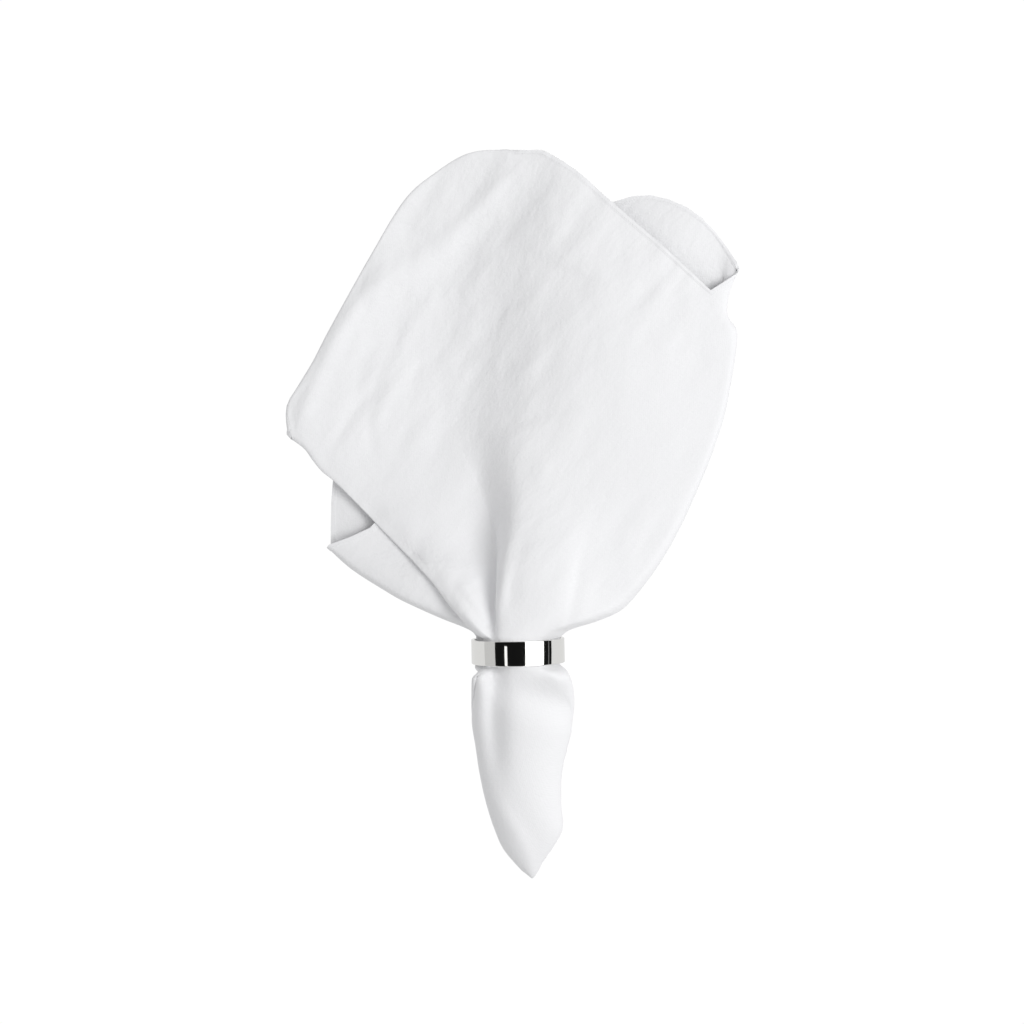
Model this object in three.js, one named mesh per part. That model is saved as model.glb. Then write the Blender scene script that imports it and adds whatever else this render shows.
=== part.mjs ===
// A square linen napkin, pinched near its middle and pulled through a narrow metal ring, lying on its back.
//
// Millimetres. +X is to the right, +Y runs along the ring's axis towards the open fan, and +Z is up.
// While the shapes are worked out, x = 0, y = 0 is the ring's middle and z = 0 is the table. The group is
// moved at the end, so that its origin is the middle of the underside of the whole thing.
//
// The cloth is one sheet. Every section across the ring's axis is a closed line that goes back and forth in
// six layers, which are joined at six folds. Behind the ring the layers draw together into the soft point
// where the napkin is pinched. In front of it they open into a fan that ends at the hem.

import * as THREE from "three";

// The ring
const RING = { radius: 21, wall: 1.4, width: 11, segments: 96 };

// The cloth
const THICKNESS = 1.2;
const BORE_GAP = 0.35;
const RIM_GAP = 0.8;
const HALF_LENGTH_IN_RING = RING.width / 2 + RIM_GAP;
const BUNDLE_RADIUS = RING.radius - RING.wall - BORE_GAP - THICKNESS / 2;
const AXIS_HEIGHT = RING.radius * Math.cos(Math.PI / RING.segments);
const SHEET_REST = THICKNESS / 2;

// Height of the front layer's middle over the table, from the ring to the fan's edge
const FAN_TOP = { atRing: 38, atEdge: 15.5, fall: 78, power: 1.6 };
const CORNER_DROOP = { x: -112, y: 98, radius: 46, drop: 5 };
const RIGHT_SWELL = { x: 78, y: 58, radius: 42, rise: 4 };

// The layers, from the one on the table to the front one. Eta is a layer's place in the bundle, from -1 at the
// bottom of the bore to 1 at its top. Share is its part of the fan's height.
const LAYERS = {
  base: { eta: -1, share: 0 },
  backInner: { eta: -0.6, share: 0.17 },
  rearFlap: { eta: -0.2, share: 0.34 },
  pocketFlap: { eta: 0.2, share: 0.52 },
  frontInner: { eta: 0.6, share: 0.69 },
  front: { eta: 1, share: 1 },
};

// The folds. Each has the upper and the lower layer that it joins, its side in the bundle (-1 left, 1 right),
// how far out its crest lies there as a part of the bore, how many columns turn round it, its radius in the
// fan, and the places x, y that its crest passes on the way from the ring to the hem. Slant is the part of that
// way by which the upper layer's hem falls short of the lower one's, so that one looks into the open loop.
const FOLDS = {
  frontLeft: {
    upper: "front", lower: "frontInner", side: -1, crest: 1, columns: 4, radius: 2.4, slant: 0,
    path: [[-19.4, 8.5], [-36.5, 21.3], [-53.2, 36.2], [-64.6, 56.9], [-85.5, 77.8], [-97, 92], [-105, 101]],
  },
  frontRight: {
    upper: "front", lower: "rearFlap", side: 1, crest: 1, columns: 6, radius: 6, slant: 0.055,
    path: [[22.5, 9.5], [36.5, 14], [46.5, 18.5], [55.5, 28], [68.7, 47.4], [82.9, 76.9], [92.9, 104.2],
      [98.8, 136], [100.4, 152], [100.6, 174]],
  },
  innerLeft: {
    upper: "rearFlap", lower: "backInner", side: -1, crest: 0.55, columns: 4, radius: 1.5, slant: 0,
    path: [[-16, 12], [-42, 48], [-77, 114]],
  },
  backRight: {
    upper: "backInner", lower: "base", side: 1, crest: 0.88, columns: 4, radius: 1.5, slant: 0,
    path: [[19, 11], [43, 28], [68, 74], [85, 138]],
  },
  pocketLeft: {
    upper: "pocketFlap", lower: "base", side: -1, crest: 1, columns: 5, radius: 3.2, slant: 0,
    path: [[-20.5, 8.5], [-35.5, 13.1], [-53.8, 19.9], [-76.6, 35.9], [-87, 46.2]],
  },
  innerRight: {
    upper: "frontInner", lower: "pocketFlap", side: 1, crest: 0.55, columns: 4, radius: 1.5, slant: 0,
    path: [[15, 13], [34, 48], [55, 108], [65, 160]],
  },
};

// The layers in the order of the closed line, each from one fold to the next, with its number of columns and
// the places x, y that its hem passes between the two folds.
const PANELS = [
  {
    layer: "front", from: "frontLeft", to: "frontRight", columns: 22,
    hem: [[-104.8, 106.4], [-101.2, 117.7], [-92.1, 138.1], [-80.8, 158.6], [-67.2, 181.3], [-53.5, 204],
      [-39.9, 215.3], [-21.8, 225.7], [0.9, 228], [12, 226], [25.8, 217.2], [42.6, 202.2], [64.3, 183.2],
      [82, 167.5]],
  },
  {
    layer: "rearFlap", from: "frontRight", to: "innerLeft", columns: 10,
    hem: [[90.1, 189], [78.7, 199.5], [67.3, 205], [55.8, 206.8], [43, 203.6], [19.3, 196.9], [-17.4, 176.8],
      [-54, 146]],
  },
  {
    layer: "backInner", from: "innerLeft", to: "backRight", columns: 8,
    hem: [[-48, 165], [1, 198], [50, 188]],
  },
  {
    layer: "base", from: "backRight", to: "pocketLeft", columns: 11,
    hem: [[56.3, 194.7], [10.2, 213.2], [-35.9, 187.8], [-68.2, 139.4], [-84.3, 90.9], [-85.3, 77]],
  },
  {
    layer: "pocketFlap", from: "pocketLeft", to: "innerRight", columns: 9,
    hem: [[-65, 56.8], [-45, 92], [2, 148]],
  },
  {
    layer: "frontInner", from: "innerRight", to: "frontLeft", columns: 9,
    hem: [[12, 200], [-40, 184], [-80, 135]],
  },
];

// The tail behind the ring: the left and right edge and the height of the top at places along the axis
const TAIL = [
  { y: -11, left: -20.9, right: 23.4, top: 37.5 },
  { y: -19, left: -21.4, right: 24.9, top: 34.5 },
  { y: -30, left: -21.4, right: 25.3, top: 31 },
  { y: -43, left: -19.3, right: 22.8, top: 28 },
  { y: -57, left: -17.2, right: 19.8, top: 25.5 },
  { y: -71, left: -14.1, right: 19.6, top: 22.5 },
  { y: -83, left: -10.3, right: 20.1, top: 18.5 },
  { y: -92, left: -6.4, right: 15.4, top: 14.5 },
  { y: -99, left: -0.9, right: 10.8, top: 10.5 },
  { y: -103.2, left: 3, right: 8.9, top: 7.5 },
];
const TAIL_TIP = { x: 6.6, y: -106, z: 3.6 };
const PLEATS_END = -62;

// Creases of the front: places x, y along each, its depth, and its width to the left and right of the line
const CREASES = [
  [
    { x: -8, y: -60, depth: 0, left: 5, right: 5 },
    { x: -9.4, y: -44, depth: 2.5, left: 5, right: 4 },
    { x: -10.3, y: -28, depth: 4, left: 6, right: 4 },
    { x: -9.4, y: 0, depth: 6, left: 6, right: 3.5 },
    { x: -8.1, y: 21, depth: 8.5, left: 9, right: 4 },
    { x: -6.7, y: 42, depth: 8, left: 12, right: 5 },
    { x: -6.7, y: 56, depth: 7, left: 14, right: 8 },
    { x: -8.1, y: 90, depth: 5, left: 16, right: 14 },
    { x: -5, y: 130, depth: 4, left: 18, right: 18 },
    { x: 0, y: 170, depth: 3.5, left: 16, right: 16 },
    { x: 9, y: 226, depth: 2, left: 12, right: 12 },
  ],
  [
    { x: 20.5, y: 8, depth: 0, left: 4, right: 4 },
    { x: 24.5, y: 30, depth: 2.6, left: 5, right: 5 },
    { x: 30, y: 52, depth: 2.2, left: 6, right: 8 },
    { x: 37, y: 80, depth: 0, left: 10, right: 10 },
  ],
];

// The strip along the front's upper left edge that is turned under. Start, end, fadeIn and fadeOut are parts of
// the way along the hem. The strip is deep at its start and shallow at its end, and lies below the front by a
// part of the fan's height. Its turn is complete where its strength is fullTurn, and it lengthens from stripFrom.
const TUCK = {
  start: 0, end: 0.67, fadeIn: 0.26, fadeOut: 0.34,
  deep: 24, shallow: 10, lip: 1.3, below: 0.15,
  startsBy: 0.2, stripFrom: 0.5, fullTurn: 0.7, leastTurn: 0.01,
};

// The rows of the fan, each at a part of the way from the ring to the hem
const FAN_ROWS = 10;
const FAN_SPACING = 1.3;
const LAST_FAN_ROW = 0.93;
const HEM_ROWS = [0.945, 0.96, 0.975, 0.99, 1];

// The part of that way over which the bundle's section gives way to the fan's
const BUNDLE_FADE = 0.3;

// The depth of a fold's turn in the bundle as a part of the bore, and how much of it each step of eta adds
const TURN_DEPTH = { least: 0.09, perEta: 0.175 };

// The round section of the bundle is a square that is bent by half of each side's square
const DISC_BEND = 0.5;

// The tail's section: how high its widest place lies, how its underside is pressed flat, and how far behind the
// ring it reaches the table
const TAIL_WIDEST = 0.42;
const PRESSED = { reach: 1.03, power: 1.3 };
const ON_TABLE = -19;

// The curves: how finely their lengths are measured, and where a fold's first direction is taken
const LENGTH_STEPS = 400;
const FIRST_TANGENT = 0.02;

const COLOURS = { linen: "#f1f1f3", metal: "#c9cbce" };

/** A value from 0 to 1 that rises smoothly between two limits. */
function smooth(value, low, high) {
  return THREE.MathUtils.smoothstep(value, low, high);
}

/** The value between two, at a part of the way. */
function mix(a, b, part) {
  return a + (b - a) * part;
}

/** A curve through places in a plane, even in length from its start to its end. */
function curveThrough(places) {
  const points = places.map(([x, y]) => new THREE.Vector3(x, y, 0));
  const curve = new THREE.CatmullRomCurve3(points, false, "centripetal");
  curve.arcLengthDivisions = LENGTH_STEPS;
  return curve;
}

/** The depth of one crease at a place, from the nearest point of its line and a bell across the line. */
function creaseDepth(crease, x, y) {
  let nearest = Infinity;
  let depth = 0;
  for (let i = 0; i + 1 < crease.length; i += 1) {
    const [a, b] = [crease[i], crease[i + 1]];
    const [dx, dy] = [b.x - a.x, b.y - a.y];
    const part = THREE.MathUtils.clamp(((x - a.x) * dx + (y - a.y) * dy) / (dx * dx + dy * dy), 0, 1);
    const [offX, offY] = [x - a.x - part * dx, y - a.y - part * dy];
    const away = Math.hypot(offX, offY);
    if (away < nearest) {
      nearest = away;
      const isRight = dx * offY - dy * offX < 0;
      const width = isRight ? mix(a.right, b.right, part) : mix(a.left, b.left, part);
      depth = mix(a.depth, b.depth, part) * Math.exp(-((away / width) ** 2));
    }
  }
  return depth;
}

/** All creases together at a place. */
function relief(x, y) {
  return -CREASES.reduce((sum, crease) => sum + creaseDepth(crease, x, y), 0);
}

/** A soft round hill or hollow at a place. */
function mound({ x, y, radius }, atX, atY) {
  return Math.exp(-(((atX - x) ** 2 + (atY - y) ** 2) / radius ** 2));
}

/** Height of the front layer over the table in the fan. */
function fanTop(x, y) {
  const reach = Math.hypot(x, y - HALF_LENGTH_IN_RING);
  const fall = Math.exp(-((reach / FAN_TOP.fall) ** FAN_TOP.power));
  const height = mix(FAN_TOP.atEdge, FAN_TOP.atRing, fall);
  const drop = CORNER_DROOP.drop * mound(CORNER_DROOP, x, y);
  const rise = RIGHT_SWELL.rise * mound(RIGHT_SWELL, x, y);
  return height - drop + rise + relief(x, y);
}

/** A place in the bundle: across goes from -1 to 1, eta from -1 at the bottom to 1 at the top. */
function bundlePoint(across, eta, y) {
  const x = BUNDLE_RADIUS * across * Math.sqrt(1 - DISC_BEND * eta * eta);
  const z = AXIS_HEIGHT + BUNDLE_RADIUS * eta * Math.sqrt(1 - DISC_BEND * across * across);
  return new THREE.Vector3(x, y, z + relief(x, y) * (1 + eta) / 2);
}

/** A fold as functions along the fan, with its crest, the way out of it, its radius and where its layers end. */
function foldLines(fold) {
  const eta = (LAYERS[fold.upper].eta + LAYERS[fold.lower].eta) / 2;
  const start = bundlePoint(fold.side * fold.crest, eta, HALF_LENGTH_IN_RING);
  const curve = curveThrough([[start.x, start.y], ...fold.path]);
  const crest = (t) => curve.getPointAt(t);
  const outward = (t) => {
    const along = curve.getTangentAt(Math.max(t, FIRST_TANGENT));
    return new THREE.Vector3(along.y, -along.x, 0).multiplyScalar(fold.side);
  };
  const radius = (t) => mix(turnDepth(fold) * BUNDLE_RADIUS, fold.radius, smooth(t, 0, BUNDLE_FADE));
  const inner = (t, layer) => {
    const along = t * (layer === fold.upper ? 1 - fold.slant : 1);
    return crest(along).addScaledVector(outward(along), -radius(along));
  };
  return { crest, outward, radius, inner };
}

/** A column of the grid, with its path in plan, its place in the bundle and its part of the fan's height. */
function makeColumn(plan, across, eta, share, tuck) {
  const inBundle = bundlePoint(across, eta, HALF_LENGTH_IN_RING);
  const start = plan(0);
  const shift = new THREE.Vector3(inBundle.x - start.x, inBundle.y - start.y, 0);
  const fanPlace = (t) => plan(t).addScaledVector(shift, 1 - smooth(t, 0, BUNDLE_FADE));
  const inward = new THREE.Vector3();
  return { fanPlace, across, eta, share, tuck, tuckDepth: 0, inward, bundleHeight: inBundle.z };
}

/** The columns that turn round a fold, from the layer that the closed line comes from to the next one. */
function foldColumns(fold, lines, downwards) {
  const [upper, lower] = [LAYERS[fold.upper], LAYERS[fold.lower]];
  const columns = [];
  for (let i = 1; i <= fold.columns; i += 1) {
    const part = i / (fold.columns + 1);
    const angle = Math.PI * (downwards ? 0.5 - part : part - 0.5);
    const lift = Math.sin(angle) / 2;
    const inset = 1 - Math.cos(angle);
    const plan = (t) => {
      const along = t * (1 - fold.slant * (0.5 + lift));
      return lines.crest(along).addScaledVector(lines.outward(along), -lines.radius(along) * inset);
    };
    const eta = (upper.eta + lower.eta) / 2 + (upper.eta - lower.eta) * lift;
    const share = (upper.share + lower.share) / 2 + (upper.share - lower.share) * lift;
    const across = fold.side * (fold.crest - turnDepth(fold) * inset);
    columns.push(makeColumn(plan, across, eta, share, 0));
  }
  return columns;
}

/** How deep the turn of a fold is in the bundle, as a part of the bore. */
function turnDepth(fold) {
  return TURN_DEPTH.least + TURN_DEPTH.perEta * (LAYERS[fold.upper].eta - LAYERS[fold.lower].eta);
}

/** How strongly the front's hem is turned under, 0 to 1, at a part of the way along it. */
function tuckAt(part) {
  const rises = smooth(part, TUCK.start, TUCK.start + TUCK.fadeIn);
  const falls = smooth(part, TUCK.end - TUCK.fadeOut, TUCK.end);
  return rises * (1 - falls);
}

/** The columns of one layer, a patch between its two folds, the ring and its hem. */
function panelColumns(panel, lines) {
  const [from, to] = [lines[panel.from], lines[panel.to]];
  const { eta, share } = LAYERS[panel.layer];
  const folds = [FOLDS[panel.from], FOLDS[panel.to]];
  const ends = folds.map((fold) => fold.side * (fold.crest - turnDepth(fold)));
  const start = (t) => from.inner(t, panel.layer);
  const end = (t) => to.inner(t, panel.layer);
  const [ringFrom, ringTo, hemFrom, hemTo] = [start(0), end(0), start(1), end(1)];
  const hem = curveThrough([[hemFrom.x, hemFrom.y], ...panel.hem, [hemTo.x, hemTo.y]]);
  const columns = [];
  for (let i = 0; i <= panel.columns; i += 1) {
    const s = i / panel.columns;
    const hemPlace = hem.getPointAt(s);
    const plan = (t) => {
      const sides = start(t).lerp(end(t), s);
      const lengthways = ringFrom.clone().lerp(ringTo, s).lerp(hemPlace, t);
      const corners = ringFrom.clone().lerp(ringTo, s).lerp(hemFrom.clone().lerp(hemTo, s), t);
      return sides.add(lengthways).sub(corners);
    };
    const tuck = panel.layer === "front" ? tuckAt(s) : 0;
    const column = makeColumn(plan, mix(ends[0], ends[1], s), eta, share, tuck);
    column.tuckDepth = mix(TUCK.deep, TUCK.shallow, s / TUCK.end);
    const along = hem.getTangentAt(s);
    column.inward.set(along.y, -along.x, 0);
    columns.push(column);
  }
  return columns;
}

/** All columns of the closed line, in order. */
function allColumns() {
  const lines = Object.fromEntries(Object.entries(FOLDS).map(([name, fold]) => [name, foldLines(fold)]));
  return PANELS.flatMap((panel) => {
    const fold = FOLDS[panel.to];
    const downwards = fold.upper === panel.layer;
    return [...panelColumns(panel, lines), ...foldColumns(fold, lines[panel.to], downwards)];
  });
}

/** A point of a column in the fan, t from 0 at the ring to 1 at the hem. */
function fanPoint(column, t) {
  const place = column.fanPlace(t);
  place.z = mix(column.bundleHeight, layerHeight(column.share, place.x, place.y), smooth(t, 0, BUNDLE_FADE));
  return place;
}

/** Height of a column's layer at a place in the fan. */
function layerHeight(share, x, y) {
  return SHEET_REST + share * (fanTop(x, y) - SHEET_REST);
}

/** The last rows of a column, on to the hem, or rolled under in an arc with the rest of the strip behind it. */
function hemPoints(column) {
  const edge = fanPoint(column, 1);
  const arc = Math.PI * TUCK.below * fanTop(edge.x, edge.y) / 2;
  const turn = Math.max(Math.PI * smooth(column.tuck, 0, TUCK.fullTurn), TUCK.leastTurn);
  const radius = arc / turn;
  const strip = TUCK.lip + column.tuckDepth * smooth(column.tuck, TUCK.stripFrom, 1);
  const widest = turn > Math.PI / 2 ? radius : radius * Math.sin(turn) + strip * Math.cos(turn);
  return HEM_ROWS.map((t, i) => {
    const isHem = i === HEM_ROWS.length - 1;
    const angle = turn * Math.min(i / (HEM_ROWS.length - 2), 1);
    const inwards = widest - radius * Math.sin(angle) - (isHem ? strip * Math.cos(turn) : 0);
    const down = radius * (1 - Math.cos(angle)) + (isHem ? strip * Math.sin(turn) : 0);
    const under = edge.clone().addScaledVector(column.inward, inwards);
    under.z = layerHeight(column.share, under.x, under.y) - down;
    return fanPoint(column, t).lerp(under, smooth(column.tuck, 0, TUCK.startsBy));
  });
}

/** A place between the rows of the tail table. */
function tailSize(y) {
  const top = AXIS_HEIGHT + BUNDLE_RADIUS;
  const atRing = { y: -HALF_LENGTH_IN_RING, left: -BUNDLE_RADIUS, right: BUNDLE_RADIUS, top };
  const rows = [atRing, ...TAIL];
  const next = Math.max(1, rows.findIndex((row) => row.y <= y));
  const [a, b] = [rows[next - 1], rows[next]];
  const part = (y - a.y) / (b.y - a.y);
  return {
    left: mix(a.left, b.left, part),
    right: mix(a.right, b.right, part),
    top: mix(a.top, b.top, part),
  };
}

/** One section of the tail, the pleated line drawn out to a plain oval towards the tip, on a flat underside. */
function tailRow(columns, y) {
  const { left, right, top } = tailSize(y);
  const opened = smooth(-y, HALF_LENGTH_IN_RING, -PLEATS_END);
  const flattened = smooth(-y, HALF_LENGTH_IN_RING, -ON_TABLE);
  const low = mix(AXIS_HEIGHT - BUNDLE_RADIUS, SHEET_REST, flattened);
  const middle = mix(AXIS_HEIGHT, mix(low, top, TAIL_WIDEST), flattened);
  const frontMiddle = PANELS[0].columns / 2;
  return columns.map((column, i) => {
    const angle = Math.PI / 2 - 2 * Math.PI * (i - frontMiddle) / columns.length;
    const across = mix(column.across, Math.cos(angle), opened);
    const eta = mix(column.eta, Math.sin(angle), opened);
    const bend = mix(DISC_BEND, 0, opened);
    const x = (left + right) / 2 + (right - left) / 2 * across * Math.sqrt(1 - bend * eta * eta);
    const up = eta * Math.sqrt(1 - bend * across * across);
    const height = up > 0 ? middle + (top - middle) * up : middle + (middle - low) * flatten(up, flattened);
    return new THREE.Vector3(x, y, height + relief(x, y) * (1 + eta) / 2);
  });
}

/** The lower half of a section, pressed flat where it lies on the table. */
function flatten(up, strength) {
  const pressed = Math.max(-1, -PRESSED.reach * (1 - (1 + up) ** PRESSED.power));
  return mix(up, pressed, strength);
}

/** The grid of the sheet's middle surface, in rows from the tip to the hem, each a closed line of points. */
function sheetRows() {
  const columns = allColumns();
  const tail = TAIL.map(({ y }) => tailRow(columns, y)).reverse();
  const bundle = [-HALF_LENGTH_IN_RING, HALF_LENGTH_IN_RING].map((y) => (
    columns.map((column) => bundlePoint(column.across, column.eta, y))
  ));
  const fan = [];
  for (let i = 1; i <= FAN_ROWS; i += 1) {
    const t = LAST_FAN_ROW * (i / FAN_ROWS) ** FAN_SPACING;
    fan.push(columns.map((column) => fanPoint(column, t)));
  }
  const hems = columns.map((column) => hemPoints(column));
  const hem = HEM_ROWS.map((_, i) => hems.map((points) => points[i]));
  return [...tail, ...bundle, ...fan, ...hem];
}

/** The outward direction at every point of the grid, from the points around it. */
function sheetNormals(rows) {
  return rows.map((row, i) => row.map((point, j) => {
    const count = row.length;
    const around = row[(j + 1) % count].clone().sub(row[(j + count - 1) % count]);
    const before = i > 0 ? rows[i - 1][j] : new THREE.Vector3(TAIL_TIP.x, TAIL_TIP.y, TAIL_TIP.z);
    const along = (rows[i + 1] ?? rows[i])[j].clone().sub(before);
    return around.cross(along).normalize();
  }));
}

/** The napkin, with an outer and an inner face on either side of the middle surface, closed at tip and hem. */
function napkinGeometry() {
  const rows = sheetRows();
  const normals = sheetNormals(rows);
  const count = rows[0].length;
  const positions = [];
  const indices = [];
  for (const side of [1, -1]) {
    rows.forEach((row, i) => row.forEach((point, j) => {
      const place = point.clone().addScaledVector(normals[i][j], side * THICKNESS / 2);
      positions.push(place.x, place.y, Math.max(place.z, 0));
    }));
    positions.push(TAIL_TIP.x, TAIL_TIP.y - side * THICKNESS / 2, TAIL_TIP.z);
  }
  const sheetPoints = rows.length * count + 1;
  for (const [start, isOuter] of [[0, true], [sheetPoints, false]]) {
    const face = (a, b, c) => (isOuter ? indices.push(a, b, c) : indices.push(a, c, b));
    for (let j = 0; j < count; j += 1) {
      const next = (j + 1) % count;
      face(start + sheetPoints - 1, start + next, start + j);
      for (let i = 0; i + 1 < rows.length; i += 1) {
        const [low, high] = [start + i * count, start + (i + 1) * count];
        face(low + j, low + next, high + next);
        face(low + j, high + next, high + j);
      }
    }
  }
  const [outerHem, innerHem] = [(rows.length - 1) * count, sheetPoints + (rows.length - 1) * count];
  for (let j = 0; j < count; j += 1) {
    const next = (j + 1) % count;
    indices.push(outerHem + j, outerHem + next, innerHem + next);
    indices.push(outerHem + j, innerHem + next, innerHem + j);
  }
  const geometry = new THREE.BufferGeometry();
  geometry.setAttribute("position", new THREE.Float32BufferAttribute(positions, 3));
  geometry.setIndex(indices);
  geometry.computeVertexNormals();
  return geometry;
}

/** The ring, a plain band whose section is turned round the axis, with one flat of it on the table. */
function ringGeometry() {
  const [inner, outer, half] = [RING.radius - RING.wall, RING.radius, RING.width / 2];
  const section = [[inner, -half], [outer, -half], [outer, half], [inner, half], [inner, -half]];
  const geometry = new THREE.LatheGeometry(section.map(([r, y]) => new THREE.Vector2(r, y)), RING.segments);
  geometry.rotateY(Math.PI / RING.segments);
  return geometry;
}

const linen = new THREE.MeshStandardMaterial({ color: COLOURS.linen, roughness: 0.9, metalness: 0 });
const metal = new THREE.MeshStandardMaterial({ color: COLOURS.metal, roughness: 0.08, metalness: 1 });

const napkin = new THREE.Mesh(napkinGeometry(), linen);
napkin.name = "napkin";

const ring = new THREE.Mesh(ringGeometry(), metal);
ring.name = "ring";
ring.position.z = AXIS_HEIGHT;

const napkinInRing = new THREE.Group();
napkinInRing.add(napkin, ring);

// The origin is the middle of the underside
const bounds = new THREE.Box3().setFromObject(napkinInRing, true);
const middle = bounds.getCenter(new THREE.Vector3());
napkinInRing.position.set(-middle.x, -middle.y, -bounds.min.z);

export default napkinInRing;
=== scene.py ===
"""Dresses a square linen napkin that is gathered in a polished metal ring and lies on its back.

The shapes are worked out in millimetres in the part's own construction frame: x = 0, y = 0 is the ring's
middle, z = 0 is the surface that the napkin lies on, +X is to the right and +Y runs towards the open fan.
They are moved into the shared frame, in metres, when their meshes are made.

The cloth is one sheet. Across the ring's axis it is a closed line that goes back and forth in six layers,
joined at six folds. Behind the ring the line draws together into the tail, and in front of it the line opens
into the fan that ends at the hem.
"""

import logging
from collections.abc import Callable, Sequence
from dataclasses import dataclass, field
from enum import Enum
from typing import Any, NamedTuple

import bpy
import numpy as np
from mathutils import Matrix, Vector

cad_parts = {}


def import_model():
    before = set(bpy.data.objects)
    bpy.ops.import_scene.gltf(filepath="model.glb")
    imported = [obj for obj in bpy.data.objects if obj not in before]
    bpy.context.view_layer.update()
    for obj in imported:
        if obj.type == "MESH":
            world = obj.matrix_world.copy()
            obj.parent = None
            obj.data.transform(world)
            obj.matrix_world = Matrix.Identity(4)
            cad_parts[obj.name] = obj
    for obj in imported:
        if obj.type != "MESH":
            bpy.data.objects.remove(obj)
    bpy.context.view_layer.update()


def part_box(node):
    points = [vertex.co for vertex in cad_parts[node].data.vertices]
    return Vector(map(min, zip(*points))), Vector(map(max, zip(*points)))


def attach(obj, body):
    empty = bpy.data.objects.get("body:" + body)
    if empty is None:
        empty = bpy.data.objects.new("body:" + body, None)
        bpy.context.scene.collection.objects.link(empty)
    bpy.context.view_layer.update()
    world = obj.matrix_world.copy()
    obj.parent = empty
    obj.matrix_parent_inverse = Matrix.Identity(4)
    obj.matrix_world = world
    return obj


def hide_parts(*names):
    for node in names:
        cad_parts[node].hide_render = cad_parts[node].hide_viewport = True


LOG = logging.getLogger("napkin")
MM = 0.001
LEAST_LENGTH = 1e-9

# One number, or an array of them
Numbers = float | np.ndarray


class Layer(Enum):
    """The six layers of the gathered cloth, from the one on the table to the front one."""

    BASE = 0
    BACK_INNER = 1
    REAR_FLAP = 2
    POCKET_FLAP = 3
    FRONT_INNER = 4
    FRONT = 5


# For each layer: its place in the bundle from -1 at the bottom of the bore to 1 at its top, and its part of
# the fan's height
LAYER_ETA = np.array([-1.0, -0.6, -0.2, 0.45, 0.74, 1.0])
LAYER_SHARE = np.array([0.0, 0.17, 0.34, 0.52, 0.69, 1.0])


def smooth(value: np.ndarray, low: float, high: float) -> np.ndarray:
    """Rises smoothly from 0 to 1 between two limits, as u * u * (3 - 2 * u).

    Args:
        value: What is measured.
        low: The limit at or under which the result is 0.
        high: The limit at or over which the result is 1.

    Returns:
        A value from 0 to 1 for each one given.
    """
    part = np.clip((value - low) / (high - low), 0.0, 1.0)
    return part * part * (3.0 - 2.0 * part)


def mix(a: Numbers, b: Numbers, part: Numbers) -> Numbers:
    """The value between two, a + (b - a) * part."""
    return a + (b - a) * part


def through(at: np.ndarray, values: np.ndarray, wanted: np.ndarray) -> np.ndarray:
    """A smooth curve through a table's values, a cubic between rows with the mean slope at each row.

    Args:
        at: Where the table's rows lie.
        values: The value of each row.
        wanted: Where the curve is read.

    Returns:
        The curve's values there.
    """
    order = np.argsort(at)
    at, values = at[order], values[order]
    slope = np.gradient(values, at)
    i = np.clip(np.searchsorted(at, wanted) - 1, 0, len(at) - 2)
    gap = at[i + 1] - at[i]
    u = (wanted - at[i]) / gap
    rise = values[i + 1] - values[i]
    c2 = 3 * rise - gap * (2 * slope[i] + slope[i + 1])
    c3 = gap * (slope[i] + slope[i + 1]) - 2 * rise
    return values[i] + gap * slope[i] * u + c2 * u**2 + c3 * u**3


class PlanCurve:
    """A smooth curve through places in plan, even in length from its start to its end.

    It is a centripetal Catmull-Rom curve, sampled finely and read back by its length.
    """

    STEPS = 40
    NUDGE = 0.002

    def __init__(self, places: Sequence[Sequence[float]]) -> None:
        """Samples the curve.

        From p1 to p2 it is the cubic that leaves p1 with the slope out and reaches p2 with the slope into.

        Args:
            places: The places x, y that it passes, in order.
        """
        knots = np.asarray(places, float)
        ends = np.vstack([2 * knots[0] - knots[1], knots, 2 * knots[-1] - knots[-2]])
        p0, p1, p2, p3 = (ends[i : len(ends) - 3 + i] for i in range(4))
        gap = [np.sqrt(np.linalg.norm(b - a, axis=1))[:, None] for a, b in ((p0, p1), (p1, p2), (p2, p3))]
        out = ((p1 - p0) / gap[0] - (p2 - p0) / (gap[0] + gap[1]) + (p2 - p1) / gap[1]) * gap[1]
        into = ((p2 - p1) / gap[1] - (p3 - p1) / (gap[1] + gap[2]) + (p3 - p2) / gap[2]) * gap[1]
        u = (np.arange(self.STEPS) / self.STEPS)[None, :, None]
        p1, p2, out, into = (a[:, None, :] for a in (p1, p2, out, into))
        cubic = p1 + out * u + (3 * (p2 - p1) - 2 * out - into) * u**2 + (2 * (p1 - p2) + out + into) * u**3
        self.points = np.vstack([cubic.reshape(-1, 2), knots[-1:]])
        steps = np.linalg.norm(np.diff(self.points, axis=0), axis=1)
        self.lengths = np.concatenate([[0.0], np.cumsum(steps)])
        self.length = float(self.lengths[-1])

    def at(self, part: np.ndarray) -> np.ndarray:
        """The places at parts of the curve's length, with x and y in a last axis."""
        reach = np.asarray(part, float) * self.length
        return np.stack([np.interp(reach, self.lengths, self.points[:, k]) for k in range(2)], axis=-1)

    def tangent(self, part: np.ndarray) -> np.ndarray:
        """The direction of the curve.

        Args:
            part: Parts of the curve's length.

        Returns:
            A direction one unit long for each, with x and y in a last axis.
        """
        ahead = self.at(np.minimum(np.asarray(part) + self.NUDGE, 1.0))
        step = ahead - self.at(np.maximum(np.asarray(part) - self.NUDGE, 0.0))
        return step / np.linalg.norm(step, axis=-1, keepdims=True)


class CreaseRow(NamedTuple):
    """One place of a crease: where it is, how deep, and how wide to its left and right, in millimetres."""

    x: float
    y: float
    depth: float
    left: float
    right: float


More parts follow.
